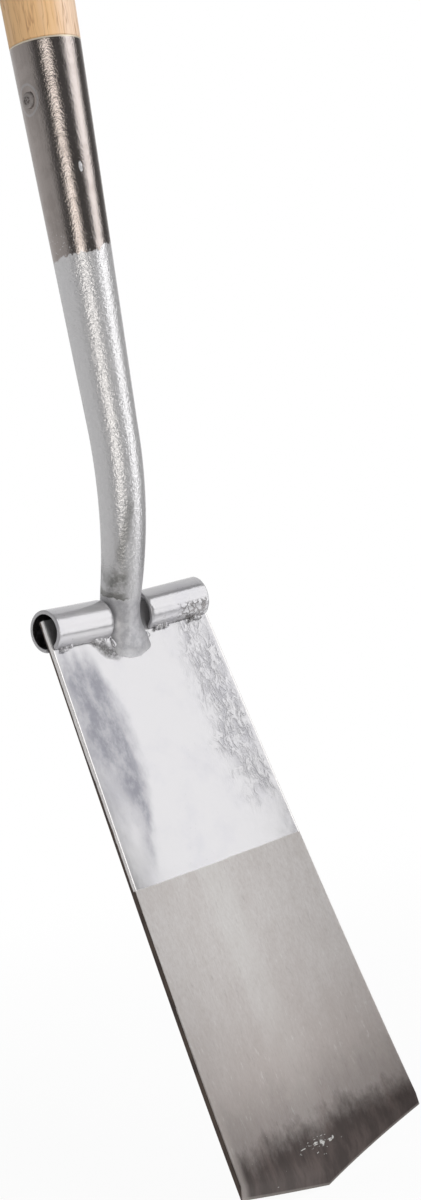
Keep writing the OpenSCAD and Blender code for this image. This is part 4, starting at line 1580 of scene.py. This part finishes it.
def studio_world(studio, towards):
    """White to the camera, and dim walls with round soft boxes to the object."""
    world = bpy.data.worlds.new("studio_round")
    bpy.context.scene.world = world
    world.use_nodes = True
    world.node_tree.nodes.clear()
    tree = Tree(world.node_tree)
    ray = Place(tree, tree.add("ShaderNodeTexCoord").outputs["Generated"])
    x, y, z = ray.parts()
    turn = (tree.sum("ARCTAN2", y, x) - towards) * (1 / (2 * math.pi))
    share = tree.sum("FRACT", turn + 1.5)
    light = tree.paint(
        wall_ring(tree, share, STUDIO_WALLS),
        (z.window(0.36, 0.56), wall_ring(tree, share, STUDIO_CEILING)),
        (z.window(-0.38, -0.58), wall_ring(tree, share, STUDIO_GROUND)),
    )
    for right, up, inner, outer, level, warmth in SOFT_BOXES:
        inputs = {0: ray, 1: direction_to(towards, right, up)}
        facing = tree.add("ShaderNodeVectorMath", inputs, operation="DOT_PRODUCT")
        facing = Amount(tree, facing.outputs["Value"])
        low, high = math.cos(math.radians(outer)), math.cos(math.radians(inner))
        green, blue = 1 - WARM_GREEN * warmth, 1 - WARM_BLUE * warmth
        glow = (level, level * green, level * blue, 1.0)
        light = tree.mix(facing.window(low, high), light, glow)
    seen, _ = tree.seen()
    lit = tree.add("ShaderNodeBackground", {"Color": light, "Strength": studio.light})
    white = tree.add("ShaderNodeBackground", {"Color": WHITE, "Strength": 1.0})
    inputs = {0: seen, 1: lit.outputs[0], 2: white.outputs[0]}
    both = tree.add("ShaderNodeMixShader", inputs)
    tree.add("ShaderNodeOutputWorld", {"Surface": both.outputs[0]})


def studio_floor(studio):
    """Plain pale floor just under the point of the blade, white where the camera sees it."""
    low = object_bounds()[0].z - FLOOR_GAP
    corners = ((-1, -1), (1, -1), (1, 1), (-1, 1))
    mesh = bpy.data.meshes.new("studio_floor")
    points = [(FLOOR_SIZE * x, FLOOR_SIZE * y, low) for x, y in corners]
    mesh.from_pydata(points, [], [(0, 1, 2, 3)])
    floor = add_object("studio_floor", mesh)
    tree, _ = new_material("floor_white")
    matt = tree.add("ShaderNodeBsdfDiffuse", {"Color": (0.86, 0.86, 0.86, 1)})
    glow = tree.add("ShaderNodeEmission", {"Color": WHITE, "Strength": 1.0})
    x, y, _ = tree.object_place().parts()
    out = tree.sum("SQRT", x**2.0 + y**2.0)
    white = out.window(SHADOW_INNER, SHADOW_OUTER).blend(studio.floor_white, 1.0)
    seen, path = tree.seen()
    inputs = {0: seen * white, 1: matt.outputs[0], 2: glow.outputs[0]}
    both = tree.add("ShaderNodeMixShader", inputs)
    clear = tree.add("ShaderNodeBsdfTransparent")
    inputs = {0: path["Is Glossy Ray"], 1: both.outputs[0], 2: clear.outputs[0]}
    shader = tree.add("ShaderNodeMixShader", inputs)
    tree.add("ShaderNodeOutputMaterial", {"Surface": shader.outputs[0]})
    mesh.materials.append(tree.material)
    floor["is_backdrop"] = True


def soft_lamps(studio, towards):
    """Large soft lamps on both sides of the camera, unseen in the metal's mirrors."""
    for name, right, up, share in LAMPS:
        data = bpy.data.lights.new(name, "AREA")
        data.energy = studio.key * share
        data.shape = "DISK"
        data.size = LAMP_SIZE
        lamp = add_object(name, data)
        aim = direction_to(towards, right, up)
        lamp.location = aim * LAMP_FAR + LAMP_AIM
        lamp.rotation_euler = aim.to_track_quat("Z", "Y").to_euler()
        lamp.visible_glossy = False


class SPADE_OT_studio(bpy.types.Operator):
    """Set up the camera, the floor and the light"""

    bl_idname = "spade.studio"
    bl_label = "Studio"

    def execute(self, context):
        scene = context.scene
        studio = scene.spade_studio
        a, e = studio.azimuth, studio.elevation
        back = Vector((math.sin(a) * math.cos(e), -math.cos(a) * math.cos(e), math.sin(e)))
        data = bpy.data.cameras.new("photo_camera")
        data.lens = studio.lens
        data.sensor_width = 36.0
        data.shift_y = studio.shift
        camera = add_object("photo_camera", data)
        camera.location = studio.camera_place
        level = (-back).to_track_quat("-Z", "Y")
        camera.rotation_euler = (level @ Euler((0, 0, studio.roll)).to_quaternion()).to_euler()
        scene.camera = camera
        scene.view_settings.view_transform = "Standard"
        place = studio.camera_place
        towards = math.atan2(place[1], place[0])
        studio_world(studio, towards)
        studio_floor(studio)
        soft_lamps(studio, towards)
        return {"FINISHED"}


class SPADE_PT_panel(bpy.types.Panel):
    """Sizes, finishes and pieces of the spade"""

    bl_label = "Trenching Spade"
    bl_idname = "SPADE_PT_panel"
    bl_space_type = "VIEW_3D"
    bl_region_type = "UI"
    bl_category = "Spade"

    def draw(self, context):
        layout = self.layout
        for operator in OPERATORS:
            layout.operator(operator.bl_idname)
        for label in GROUPS:
            group = getattr(context.scene, label)
            box = layout.box()
            for name in group.__annotations__:
                box.prop(group, name)


GROUPS = {
    "spade_sizes": SpadeSizes,
    "spade_finishes": SpadeFinishes,
    "spade_studio": SpadeStudio,
}
OPERATORS = (
    SPADE_OT_blade,
    SPADE_OT_treads,
    SPADE_OT_neck_socket,
    SPADE_OT_rivet,
    SPADE_OT_shaft,
    SPADE_OT_grip,
    SPADE_OT_welds,
    SPADE_OT_studio,
)
CLASSES = (*GROUPS.values(), *OPERATORS, SPADE_PT_panel)


def register():
    for entry in CLASSES:
        bpy.utils.register_class(entry)
    for label, group in GROUPS.items():
        setattr(bpy.types.Scene, label, PointerProperty(type=group))


def unregister():
    for label in reversed(GROUPS):
        delattr(bpy.types.Scene, label)
    for entry in reversed(CLASSES):
        bpy.utils.unregister_class(entry)


def main():
    register()
    bpy.ops.spade.blade()
    bpy.ops.spade.treads()
    bpy.ops.spade.neck_socket()
    bpy.ops.spade.rivet()
    bpy.ops.spade.shaft()
    bpy.ops.spade.grip()
    bpy.ops.spade.welds()
    bpy.ops.spade.studio()


if __name__ == "__main__":
    main()
